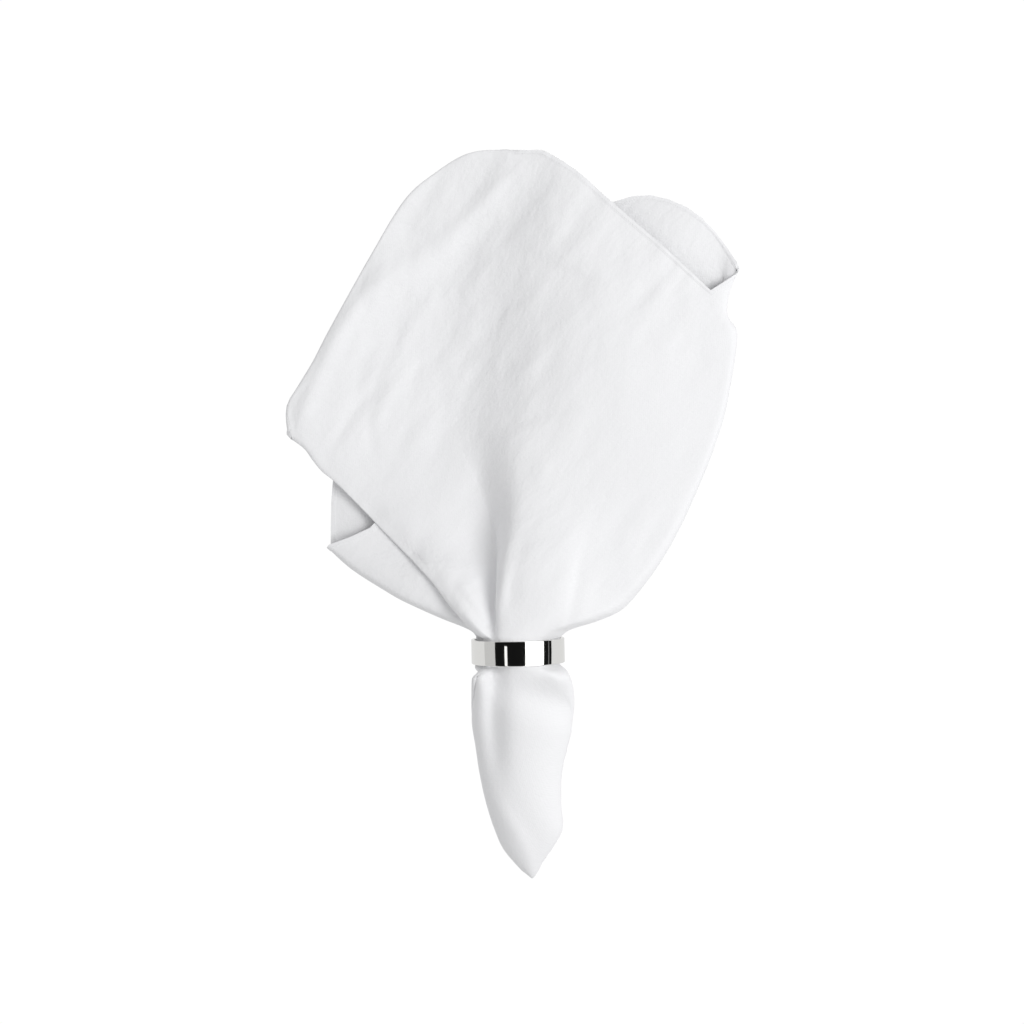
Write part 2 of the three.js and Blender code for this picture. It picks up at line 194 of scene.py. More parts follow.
class Crease:
    """A soft trough, or a ridge where its depth is negative, along a smooth line in plan.

    Across the line the depth is depth * exp(-(distance / width) ** 2), with a width for each side.
    """

    STEP = 4.0

    def __init__(self, rows: Sequence[CreaseRow]) -> None:
        """Samples the crease's line and its sizes along it.

        Args:
            rows: The crease's places, in order.
        """
        table = np.array(rows, float)
        curve = PlanCurve(table[:, :2])
        count = max(2, int(curve.length / self.STEP))
        part = np.linspace(0.0, 1.0, count + 1)
        knots = np.linalg.norm(np.diff(table[:, :2], axis=0), axis=1)
        at = np.concatenate([[0.0], np.cumsum(knots)]) / knots.sum()
        self.line = curve.at(part)
        self.sizes = np.stack([np.interp(part, at, sizes) for sizes in table[:, 2:].T], axis=-1)

    def nearest(self, x: np.ndarray, y: np.ndarray) -> tuple[np.ndarray, np.ndarray]:
        """Finds the nearest place of the line.

        Args:
            x: Places in plan, in millimetres to the right.
            y: The same places along the ring's axis.

        Returns:
            The distance from the line, negative to its left, and the line's depth and widths there.
        """
        best = np.full(x.shape, np.inf)
        side = np.zeros(x.shape)
        sizes = np.zeros(x.shape + (3,))
        for a, b, size_a, size_b in zip(self.line[:-1], self.line[1:], self.sizes[:-1], self.sizes[1:]):
            d = b - a
            part = np.clip(((x - a[0]) * d[0] + (y - a[1]) * d[1]) / (d @ d), 0.0, 1.0)
            off_x = x - a[0] - part * d[0]
            off_y = y - a[1] - part * d[1]
            away = np.hypot(off_x, off_y)
            closer = away < best
            best = np.where(closer, away, best)
            side = np.where(closer, -np.sign(d[0] * off_y - d[1] * off_x), side)
            sizes = np.where(closer[..., None], size_a + (size_b - size_a) * part[..., None], sizes)
        return best * side, sizes

    def depth(self, x: np.ndarray, y: np.ndarray) -> np.ndarray:
        """How deep the crease is.

        Args:
            x: Places in plan, in millimetres to the right.
            y: The same places along the ring's axis.

        Returns:
            The depth at each place.
        """
        away, sizes = self.nearest(x, y)
        width = np.where(away > 0, sizes[..., 2], sizes[..., 1])
        return sizes[..., 0] * np.exp(-((away / width) ** 2))


class Crumple:
    """Fine wrinkles that run one way: smooth noise between the corners of a stretched lattice.

    The places are turned by the direction and divided by the pitch along and across, and the seeded heights
    at the lattice's corners are mixed with a smooth step in both directions.
    """

    CELLS = 128

    def __init__(self, seed: int, along: float, across: float, degrees: float, rise: float) -> None:
        """Draws the heights at the lattice's corners.

        Args:
            seed: The seed of the random draw.
            along: The pitch along the wrinkles, in millimetres.
            across: The pitch across them.
            degrees: The direction that they run in, from +X towards +Y.
            rise: The greatest height.
        """
        self.corners = np.random.default_rng(seed).uniform(-1.0, 1.0, (self.CELLS, self.CELLS))
        self.along = along
        self.across = across
        self.turn = np.radians(degrees)
        self.rise = rise

    def height(self, x: np.ndarray, y: np.ndarray) -> np.ndarray:
        """How high the wrinkles are.

        Args:
            x: Places in plan, in millimetres to the right.
            y: The same places along the ring's axis.

        Returns:
            The height at each place.
        """
        u = (x * np.cos(self.turn) + y * np.sin(self.turn)) / self.along + self.CELLS / 2
        v = (y * np.cos(self.turn) - x * np.sin(self.turn)) / self.across + self.CELLS / 2
        i, j = np.floor(u).astype(int), np.floor(v).astype(int)
        a, b = smooth(u - i, 0.0, 1.0), smooth(v - j, 0.0, 1.0)
        corner = [[self.corners[(i + p) % self.CELLS, (j + q) % self.CELLS] for q in (0, 1)] for p in (0, 1)]
        return self.rise * mix(mix(*corner[0], b), mix(*corner[1], b), a)


class Mound(NamedTuple):
    """A soft hill, or a hollow where its rise is negative: middle, half widths and rise in millimetres."""

    x: float
    y: float
    across: float
    along: float
    rise: float

    def height(self, x: np.ndarray, y: np.ndarray) -> np.ndarray:
        """The height at places in plan, rise * exp(-(dx / across) ** 2 - (dy / along) ** 2)."""
        return self.rise * np.exp(-(((x - self.x) / self.across) ** 2) - ((y - self.y) / self.along) ** 2)


@dataclass(frozen=True)
class RingSize:
    """The ring's sizes in millimetres, and its small turn about the vertical in degrees."""

    radius: float = 20.98
    wall: float = 1.4
    width: float = 11.0
    edge: float = 0.35
    turn: float = 1.2
    segments: int = 320
    edge_steps: int = 5


@dataclass(frozen=True)
class BundleSize:
    """The gathered cloth inside the ring, in millimetres."""

    radius: float = 19.0
    axis_height: float = 20.98
    half_length: float = 6.3
    disc_bend: float = 0.5
    turn_least: float = 0.09
    turn_per_eta: float = 0.175

    def point(self, across: np.ndarray, eta: np.ndarray) -> tuple[np.ndarray, np.ndarray]:
        """A place in the round section, x = R a sqrt(1 - e e / 2) and z = axis + R e sqrt(1 - a a / 2).

        Args:
            across: The place a across the bore, from -1 to 1.
            eta: The place e up the bore, from -1 to 1.

        Returns:
            The places x and z.
        """
        x = self.radius * across * np.sqrt(1 - self.disc_bend * eta * eta)
        z = self.axis_height + self.radius * eta * np.sqrt(1 - self.disc_bend * across * across)
        return x, z

    def turn_depth(self, upper: Layer, lower: Layer) -> float:
        """How deep the turn between two layers is, as a part of the bore."""
        return self.turn_least + self.turn_per_eta * (LAYER_ETA[upper.value] - LAYER_ETA[lower.value])


@dataclass(frozen=True)
class Fold:
    """A fold between two layers.

    Attributes:
        upper: The layer above it.
        lower: The layer below it.
        side: -1 on the left and 1 on the right.
        crest: How far out it lies in the bundle, as a part of the bore.
        columns: How many columns turn round it.
        radii: Its radius at parts of its way from the ring to the hem.
        path: The places x, y that its crest passes on that way.
        hem: The places x, y of the cloth's edge round it, from the lower layer to the upper one, where the
            edge doesn't lie square to the path.
        nick: How far the crest is pushed in at parts of the way.
    """

    upper: Layer
    lower: Layer
    side: int
    crest: float
    columns: int
    radii: tuple[tuple[float, float], ...]
    path: tuple[tuple[float, float], ...]
    hem: tuple[tuple[float, float], ...] = ()
    nick: tuple[tuple[float, float], ...] = ((0.0, 0.0),)


@dataclass(frozen=True)
class Panel:
    """One layer between two boundary lines, with its columns and the places x, y that its hem passes.

    The grading is above 1 where columns crowd towards the start, and below 0 where they crowd towards the
    end.
    """

    layer: Layer
    start: str
    end: str
    columns: int
    hem: tuple[tuple[float, float], ...]
    grading: float = 1.0


@dataclass(frozen=True)
class TuckSize:
    """The strip along the front's upper left edge that is turned under.

    Attributes:
        end: Where it ends, as a part of the hem's length, as are the two fades.
        fade_in: Over how much of the hem it grows from the corner.
        fade_out: Over how much it fades out before its end.
        corner_turn: How far the hem turns under at the corner, as a part of its most.
        cap: How far the round end of the front's left fold stands out, in millimetres.
        deep: The depth of the strip in millimetres.
        lip: The short straight part behind its arc, before it gets its depth.
        deepens: Between which parts of the hem it gets its depth.
        below: How far under the front it ends, as a part of the front's height.
        starts_by: The strength at which the hem is fully rolled.
        strip_from: The strength from which it gets its depth.
        full_turn: The strength at which it is turned right under.
        least_turn: The least turn in radians, so that no arc is divided by nothing.
    """

    end: float = 1.0
    fade_in: float = 0.1
    fade_out: float = 0.16
    corner_turn: float = 0.5
    cap: float = 3.6
    deep: float = 13.0
    lip: float = 0.8
    deepens: tuple[float, float] = (0.04, 0.3)
    below: float = 0.17
    starts_by: float = 0.5
    strip_from: float = 0.5
    full_turn: float = 0.7
    least_turn: float = 0.01

    def strength(self, part: np.ndarray) -> np.ndarray:
        """How strongly the hem is turned under, 0 to 1, at parts of the way along it."""
        return 1 - smooth(part, self.end - self.fade_out, self.end)

    def turned(self, part: np.ndarray) -> np.ndarray:
        """How far the hem turns under as a part of its most, less at the corner, where it meets the fold."""
        return mix(self.corner_turn, 1.0, smooth(part, 0.0, self.fade_in))


class HemRow(NamedTuple):
    """One of the last rows: its distance from a plain hem, and its place in a rolled hem's arc and strip."""

    away: float
    arc: float
    strip: float


class TailRow(NamedTuple):
    """One section of the tail: its place along the axis, its left and right edge and its top's height."""

    y: float
    left: float
    right: float
    top: float


FOLDS = {
    "front_left": Fold(
        Layer.FRONT, Layer.FRONT_INNER, -1, 1.0, 6, ((0.3, 2.4), (1.0, 2.4)),
        ((-18.6, 8.5), (-29.5, 19.8), (-39.1, 31.8), (-51, 43.8), (-64.3, 56.9), (-84.2, 76.8),
         (-89.2, 80.8), (-93.6, 86.2), (-97.2, 91.2), (-105.9, 97.4)),
    ),
    "front_right": Fold(
        Layer.FRONT, Layer.REAR_FLAP, 1, 1.0, 12, ((0.3, 5.0), (0.5, 2.8), (0.8, 2.8), (1.0, 8.5)),
        ((22.5, 9.5), (36.5, 14), (46.5, 18.5), (55.5, 28), (68.7, 47.4), (82.9, 76.9), (92.9, 104.2),
         (97.4, 126), (99.4, 140), (99.6, 150), (99.4, 160), (100.2, 172.2)),
        ((89.5, 189.6), (96.7, 179.7), (100.2, 172.2), (94.5, 167.4), (87, 162.4)),
        ((0.85, 0.0), (0.868, 0.8), (0.884, 3.8), (0.897, 5.0), (0.915, 4.9), (0.944, 3.9), (0.972, 2.0),
         (1.0, 0.0)),
    ),
    "inner_left": Fold(
        Layer.REAR_FLAP, Layer.BACK_INNER, -1, 0.55, 4, ((0.3, 1.5), (1.0, 1.5)),
        ((-16, 12), (-42, 48), (-77, 114)),
    ),
    "back_right": Fold(
        Layer.BACK_INNER, Layer.BASE, 1, 0.88, 4, ((0.3, 1.5), (1.0, 1.5)),
        ((19, 11), (43, 28), (68, 74), (85, 138)),
    ),
    "pocket_left": Fold(
        Layer.POCKET_FLAP, Layer.BASE, -1, 1.0, 7, ((0.3, 3.2), (0.9, 3.0), (1.0, 1.6)),
        ((-20.5, 8.5), (-35.5, 14.6), (-53.8, 23.0), (-60.1, 26.6), (-76.2, 36.7), (-87, 46.2)),
    ),
    "inner_right": Fold(
        Layer.FRONT_INNER, Layer.POCKET_FLAP, 1, 0.55, 4, ((0.3, 1.5), (1.0, 1.5)),
        ((15, 13), (34, 48), (55, 108), (65, 160)),
    ),
}

# The valley's line in the front, from the ring to the hem: place, depth and widths
VALLEY = (
    CreaseRow(-10.8, 6.3, 0.6, 3.5, 2),
    CreaseRow(-10.2, 12.5, 4.2, 5, 2.2),
    CreaseRow(-9.8, 21.6, 9, 8, 2.6),
    CreaseRow(-9.4, 41.9, 15.5, 19, 3.6),
    CreaseRow(-12, 55.7, 15.5, 30, 6),
    CreaseRow(-19, 76, 13.5, 45, 13.5),
    CreaseRow(-27, 96, 13, 58, 25),
    CreaseRow(-28, 125, 13, 66, 29),
    CreaseRow(-24, 158, 11.8, 62, 31),
    CreaseRow(-18, 190, 8.5, 52, 30),
    CreaseRow(9, 226.6, 2, 20, 14),
)

PANELS = (
    Panel(Layer.FRONT, "front_left", "valley", 70,
          ((-105.2, 106.2), (-104.2, 112.6), (-100.8, 118.2), (-93.1, 131.2), (-88.3, 140.7),
           (-79.6, 157.1), (-67.4, 178.8), (-50.8, 205.6), (-39.9, 215.3), (-21.8, 225.7)), -1.4),
    Panel(Layer.FRONT, "valley", "front_right", 80,
          ((12, 226), (25.8, 217.2), (42.6, 202.2), (64.3, 183.2), (80, 168.8)), 1.4),
    Panel(Layer.REAR_FLAP, "front_right", "inner_left", 24,
          ((84.6, 194.9), (78.7, 199.5), (67.3, 205), (55.8, 206.8), (43, 203.6), (19.3, 196.9),
           (-17.4, 176.8), (-54, 146))),
    Panel(Layer.BACK_INNER, "inner_left", "back_right", 8, ((-48, 165), (1, 198), (50, 188))),
    Panel(Layer.BASE, "back_right", "pocket_left", 16,
          ((56.3, 194.7), (10.2, 213.2), (-35.9, 187.8), (-68.2, 139.4), (-83.6, 90.9), (-84.6, 77),
           (-86.2, 60), (-87.2, 51))),
    Panel(Layer.POCKET_FLAP, "pocket_left", "inner_right", 20, ((-65, 56.8), (-45, 92), (2, 148))),
    Panel(Layer.FRONT_INNER, "inner_right", "front_left", 8, ((12, 200), (-40, 184), (-80, 135))),
)

# The rows at the hem: distance from a plain hem, place in a rolled hem's arc, and in the strip behind it
HEM_ROWS = (
    HemRow(9.0, 0.0, 0.0),
    HemRow(6.0, 0.12, 0.0),
    HemRow(4.2, 0.25, 0.0),
    HemRow(3.2, 0.38, 0.0),
    HemRow(2.7, 0.5, 0.0),
    HemRow(2.35, 0.62, 0.0),
    HemRow(2.0, 0.75, 0.0),
    HemRow(1.5, 0.88, 0.0),
    HemRow(1.0, 1.0, 0.0),
    HemRow(0.55, 1.0, 0.5),
    HemRow(0.25, 1.0, 0.9),
    HemRow(0.08, 1.0, 0.98),
    HemRow(0.0, 1.0, 1.0),
)

TAIL = (
    TailRow(-6.3, -19.0, 19.0, 39.98),
    TailRow(-8, -20.5, 21.4, 38.8),
    TailRow(-11, -21, 23.0, 37.5),
    TailRow(-19, -21.4, 25.4, 34.5),
    TailRow(-30, -21.4, 26.0, 31),
    TailRow(-43, -19.3, 22.8, 28),
    TailRow(-57, -17.2, 19.8, 25.5),
    TailRow(-71, -14.1, 19.6, 22.5),
    TailRow(-83, -10.3, 20.1, 18.5),
    TailRow(-92, -6.4, 15.4, 14.5),
    TailRow(-99, -0.9, 10.8, 10.5),
    TailRow(-103.2, 3, 8.9, 7.5),
    TailRow(-105.4, 5.8, 7.4, 5.0),
)
TAIL_TIP = (6.6, -106.0, 3.6)

# Creases of the tail, and its ridge, where the depth is negative
TAIL_CREASES = (
    (CreaseRow(-10.4, 6.3, 2.4, 5, 2.4), CreaseRow(-10.4, 0, 3.6, 5, 2.6),
     CreaseRow(-11, -12, 4.8, 6, 3.2), CreaseRow(-11.2, -28, 4.4, 6, 4.4),
     CreaseRow(-10.4, -44, 3.2, 5, 5.4), CreaseRow(-9, -60, 0.3, 5, 6)),
    (CreaseRow(-15.5, -58, -0.2, 6, 9), CreaseRow(-13, -66, -1.2, 5.5, 9.5),
     CreaseRow(-6.3, -75.4, -2, 5, 10), CreaseRow(0.4, -86.1, -1.9, 4.5, 9.5),
     CreaseRow(6.7, -99.5, -0.8, 4, 7)),
    (CreaseRow(17.5, -6.5, 1.2, 2, 2.4), CreaseRow(20, -12.5, 1.6, 2, 2.4),
     CreaseRow(22.5, -20, 0.2, 2, 2.4)),
)

# How far the lobe right of the valley leans over it: place along the axis and lean. The lean grows over the
# lip from the valley's line and fades out over the width behind it.
LEAN = ((0.0, 0.0), (6.3, 0.8), (20.0, 2.8), (38.0, 3.0), (50.0, 1.0), (58.0, 0.0))
LEAN_LIP = 3.2
LEAN_WIDTH = 9.0

# The broad hills and hollows of the fan's top
MOUNDS = (
    Mound(-84, 70, 32, 30, -4.0),
    Mound(78, 58, 42, 42, 3),
    Mound(45, 140, 47, 60, 5.5),
    Mound(12, 40, 17, 34, 3.5),
    Mound(-66, 46, 30, 26, -3.5),
)

# The slow waves in the gaps between the layers: the rise of each from the lowest gap to the top one, their
# turns across and along in radians for each millimetre, and by how much each gap's waves are shifted
GAP_WAVES = (0.35, 0.35, 0.35, 0.2, 0.1)
GAP_WAVE_TURNS = (0.021, 0.019)
GAP_WAVE_SHIFTS = (0.9, 1.7)

# Where the gaps between the layers swell, or shrink where it is negative, from the lowest gap to the top one
GAP_SWELLS = (
    (Mound(76, 186, 46, 36, 1.0), (1.5, 1.5, -0.7, -0.7, -0.8)),
    (Mound(-48, 36, 56, 36, 1.0), (0.6, 0.6, 0.6, -0.6, -0.82)),
    (Mound(-76, 66, 24, 24, 1.0), (0.2, 0.2, 0.0, 0.2, -0.3)),
)

# Where the lowest layer stands up off the table
BASE_LIFTS = (
    Mound(-76, 64, 25, 27, 6.0),
    Mound(-64, 60, 14, 14, 1.4),
    Mound(-44, 28, 30, 18, 7.0),
)

# Creases of the front, each a list of places with depth and widths. A negative depth is a ridge.
FRONT_CREASES = (
    (CreaseRow(21, 8, 0.3, 2, 3), CreaseRow(25, 27, 1.1, 2.4, 3.6), CreaseRow(27.2, 39, 0.9, 2.6, 4),
     CreaseRow(32.5, 53, 0, 3, 6)),
    (CreaseRow(-1.5, 18, 0.1, 2, 3), CreaseRow(-1, 27, 0.8, 2, 3), CreaseRow(0.5, 36, 0.6, 2, 3),
     CreaseRow(4.5, 53, 0, 3, 4)),
    (CreaseRow(8, 223, -0.6, 5, 4), CreaseRow(-14.7, 204, -1.7, 6.5, 5),
     CreaseRow(-35.8, 183, -1.8, 7, 5), CreaseRow(-65.2, 165.6, -1.8, 5.5, 4),
     CreaseRow(-77.4, 151.5, -1.8, 5, 3.6), CreaseRow(-89.7, 127, -1.8, 4.5, 3.4),
     CreaseRow(-99.2, 106, -1.4, 4, 3.4)),
    (CreaseRow(10, 215, 0.8, 7, 9), CreaseRow(-5.9, 196.8, 1.2, 8, 10),
     CreaseRow(-30.8, 175.5, 1.2, 8, 10), CreaseRow(-53.4, 158.3, 0.9, 7, 8),
     CreaseRow(-69.3, 131.2, 0.9, 6, 7), CreaseRow(-80.6, 104, 0.4, 5, 5)),
    (CreaseRow(-46.2, 195.5, 0.2, 3, 4), CreaseRow(-49, 192.3, 0.8, 4, 5),
     CreaseRow(-53, 188, 0.2, 3, 4)),
    (CreaseRow(-48, 157, 0.1, 2, 3), CreaseRow(-54.8, 144.7, 0.7, 3, 4),
     CreaseRow(-60.2, 130.7, 0.7, 3, 4), CreaseRow(-68.8, 114.9, 0.6, 3, 4),
     CreaseRow(-79.3, 104, 0.2, 3, 3)),
    (CreaseRow(-54.8, 128.9, 0.2, 2, 3), CreaseRow(-65.2, 113, 0.8, 3, 3),
     CreaseRow(-67.9, 99.4, 0.7, 3, 3), CreaseRow(-65.2, 85.9, 0.1, 3, 3)),
    (CreaseRow(-69.3, 115.3, 0.1, 2, 2), CreaseRow(-77, 104, 0.6, 2.5, 2.5),
     CreaseRow(-84.2, 92.7, 0.2, 2, 2)),
    (CreaseRow(69.8, 174.2, 0.5, 2.5, 3), CreaseRow(58.5, 160.6, 0.9, 3, 4),
     CreaseRow(49.9, 153.4, 0.6, 3, 4), CreaseRow(37.6, 144.8, 0.1, 4, 4)),
    (CreaseRow(-28.5, 29.7, 0.4, 2.5, 2.5), CreaseRow(-21.5, 20.8, 1.0, 2.5, 2.5),
     CreaseRow(-14.6, 12.1, 0.8, 2, 2)),
    (CreaseRow(-23, 13, 0.4, 6, 4), CreaseRow(-29.5, 19.8, 1.2, 9, 5), CreaseRow(-39.1, 31.8, 2, 10, 6),
     CreaseRow(-51, 43.8, 2, 10, 6.5), CreaseRow(-64.3, 56.9, 1.6, 9, 6.5),
     CreaseRow(-76, 68.5, 0.9, 6, 6), CreaseRow(-88, 80, 0.3, 5, 5)),
)

# Fine wrinkles of the front: seed, pitch along and across, direction and rise
CRUMPLES = (
    Crumple(11, 19.0, 8.0, 58.0, 0.72),
    Crumple(12, 9.0, 4.6, 52.0, 0.34),
    Crumple(13, 46.0, 22.0, 50.0, 0.6),
)
# Where the front is smoother, as a part
CALM = (
    Mound(62, 92, 50, 58, 0.8),
    Mound(8, 20, 30, 30, 0.6),
    Mound(-50, 66, 46, 40, 0.75),
    Mound(2, -60, 80, 55, 0.95),
)

# The height of the fan's top at the ring and at its edge, how soon it falls and the power of that fall
FAN_TOP_AT_RING = 38.0
FAN_TOP_AT_EDGE = 15.5
FAN_FALL = 78.0
FAN_POWER = 1.6


@dataclass(frozen=True)
class ClothSize:
    """The cloth's sizes and its grid, in millimetres and rows.

    Attributes:
        flat: The side of the square when it lies flat.
        half_thickness: Half the cloth's thickness.
        hem_half_thickness: The same in the turned hem.
        hem_width: The hem's width.
        hem_step: Half the width of the step at the hem's inner edge.
        weave_turn: The weave's direction in degrees.
        weave_climb: How much of a place's height goes into its two cloth coordinates.
        bundle_fade: Over which part of the fan the columns leave the bundle's round section.
        rise_fade: The same for their heights.
        fan_rows: The rows in the fan.
        fan_spacing: The power that crowds them towards the ring.
        last_plain: How far from a plain hem the fan's rows end.
        last_rolled: The same where the hem is rolled.
        bundle_rows: The rows in the ring.
        tail_rows: The rows in the tail.
        tail_spacing: The power that crowds them towards the ring.
        pleats_end: Where along the tail the pleats have opened into the oval.
        on_table: Where along it the tail lies flat on the table.
        squared: Where along it the section has left the bore's round form.
        covered: How far the pleats on the left are drawn in under the front, as a part.
        covered_eta: Between which places up the bore that fades out.
        widest: How far up the tail is widest, as a part of its height.
        press_reach: How flat the tail's underside is pressed.
        press_power: How soon it rises at the sides.
    """

    flat: float = 450.0
    half_thickness: float = 0.26
    hem_half_thickness: float = 0.5
    hem_width: float = 2.35
    hem_step: float = 0.3
    weave_turn: float = -41.0
    weave_climb: tuple[float, float] = (0.7, 0.6)
    bundle_fade: float = 0.3
    rise_fade: float = 0.2
    fan_rows: int = 120
    fan_spacing: float = 1.12
    last_plain: float = 12.0
    last_rolled: float = 3.0
    bundle_rows: int = 4
    tail_rows: int = 44
    tail_spacing: float = 1.5
    pleats_end: float = 40.0
    on_table: float = 19.0
    squared: float = 11.5
    covered: float = 0.16
    covered_eta: tuple[float, float] = (0.8, 0.98)
    widest: float = 0.42
    press_reach: float = 1.03
    press_power: float = 1.3


def calm(x: np.ndarray, y: np.ndarray) -> np.ndarray:
    """How smooth the cloth is at places in plan, 0 to 1, the strongest of its calm places."""
    return np.max([mound.height(x, y) for mound in CALM], axis=0)


class Strip:
    """Some neighbouring columns of the sheet, with their path in plan along the fan.

    Attributes:
        plan: Gives the places in plan for an array of rows by columns, each a part of the way to the hem.
        across: Each column's place across the bundle.
        upper: The number of the upper layer that each column lies between.
        lower: The number of the lower one.
        level: Each column's part of the way from the lower layer to the upper one.
        tuck: How strongly each column's hem is turned under.
        tuck_turn: How far it turns, as a part of its most.
        tuck_depth: How deep that strip is, in millimetres.
        capped: 1 where the column's end closes a fold's end.
        inward: The direction in plan from the hem into the layer.
    """

    def __init__(
        self, plan: Callable[[np.ndarray], np.ndarray], across: Numbers, upper: Layer, lower: Layer,
        level: Numbers
    ) -> None:
        """Starts a strip whose hem is plain.

        Args:
            plan: Gives the places in plan, as under Attributes.
            across: Each column's place across the bundle.
            upper: The layer above the columns.
            lower: The layer below them, the same one in a panel.
            level: Each column's part of the way from the lower layer to the upper one.
        """
        count = len(across)
        self.plan = plan
        self.across = np.asarray(across, float)
        self.upper = np.full(count, upper.value)
        self.lower = np.full(count, lower.value)
        self.level = np.asarray(level, float)
        self.tuck = np.zeros(count)
        self.tuck_turn = np.ones(count)
        self.tuck_depth = np.zeros(count)
        self.capped = np.zeros(count)
        self.inward = np.zeros((count, 2))


class FoldLine:
    """A fold's crest in plan, with the way out of it, its radius and where its layers end."""

    FIRST_TANGENT = 0.02
    HEM_FROM = 0.84

    def __init__(self, fold: Fold, bundle: BundleSize, fade: float) -> None:
        """Lays out the crest from the fold's place in the bundle.

        Args:
            fold: The fold's own values.
            bundle: The bundle that it starts from.
            fade: Over which part of its way the radius goes from the bundle's to the fan's.
        """
        eta = (LAYER_ETA[fold.upper.value] + LAYER_ETA[fold.lower.value]) / 2
        start_x, _ = bundle.point(fold.side * fold.crest, eta)
        self.fold = fold
        self.depth = bundle.turn_depth(fold.upper, fold.lower)
        self.start_radius = self.depth * bundle.radius
        self.fade = fade
        self.curve = PlanCurve([(start_x, bundle.half_length), *fold.path])
        self.hem = PlanCurve(fold.hem) if fold.hem else None

    def outward(self, t: np.ndarray) -> np.ndarray:
        """The direction out of the fold at parts of its way."""
        along = self.curve.tangent(np.maximum(t, self.FIRST_TANGENT))
        return np.stack([along[..., 1], -along[..., 0]], axis=-1) * self.fold.side

    def radius(self, t: np.ndarray) -> np.ndarray:
        """The radius at parts of the way, from the bundle's turn to the fan's."""
        parts, sizes = zip(*self.fold.radii)
        return mix(self.start_radius, np.interp(t, parts, sizes), smooth(t, 0.0, self.fade))

    def place(self, t: np.ndarray, turned: np.ndarray, inset: np.ndarray) -> np.ndarray:
        """The places in plan of columns round the fold.

        It is path - outward * (radius * inset + nick * (1 - inset) ** 2), drawn towards the hem's own
        places over the last stretch.

        Args:
            t: Each row's part of the way.
            turned: Each column's part of the turn, from 0 at the lower layer to 1 at the upper one.
            inset: Its distance in from the crest, as a part of the radius.

        Returns:
            The places, with x and y in a last axis.
        """
        parts, depths = zip(*self.fold.nick)

        def square(t: np.ndarray) -> np.ndarray:
            """The places before they are drawn towards the hem's own."""
            pushed = self.radius(t) * inset + np.interp(t, parts, depths) * (1 - inset) ** 2
            return self.curve.at(t) - self.outward(t) * pushed[..., None]

        if self.hem is None:
            return square(t)
        off = self.hem.at(turned) - square(np.ones(np.shape(turned)))
        return square(t) + off * smooth(t, self.HEM_FROM, 1.0)[..., None]

    def inner(self, t: np.ndarray, layer: Layer) -> np.ndarray:
        """Where a layer meets the turn."""
        turned = np.array(1.0 if layer == self.fold.upper else 0.0)
        return self.place(t, turned, np.ones(()))

    def strip(self, downwards: bool) -> Strip:
        """Makes the columns that turn round the fold, on half an ellipse.

        Args:
            downwards: Whether the closed line goes from the upper layer to the lower one here.

        Returns:
            The columns' strip.
        """
        fold = self.fold
        part = np.arange(1, fold.columns + 1) / (fold.columns + 1)
        angle = np.pi * (0.5 - part if downwards else part - 0.5)
        lift = np.sin(angle) / 2
        inset = 1 - np.cos(angle)

        across = fold.side * (fold.crest - self.depth * inset)
        turned = 0.5 + angle / np.pi
        return Strip(lambda t: self.place(t, turned, inset), across, fold.upper, fold.lower, 0.5 + lift)


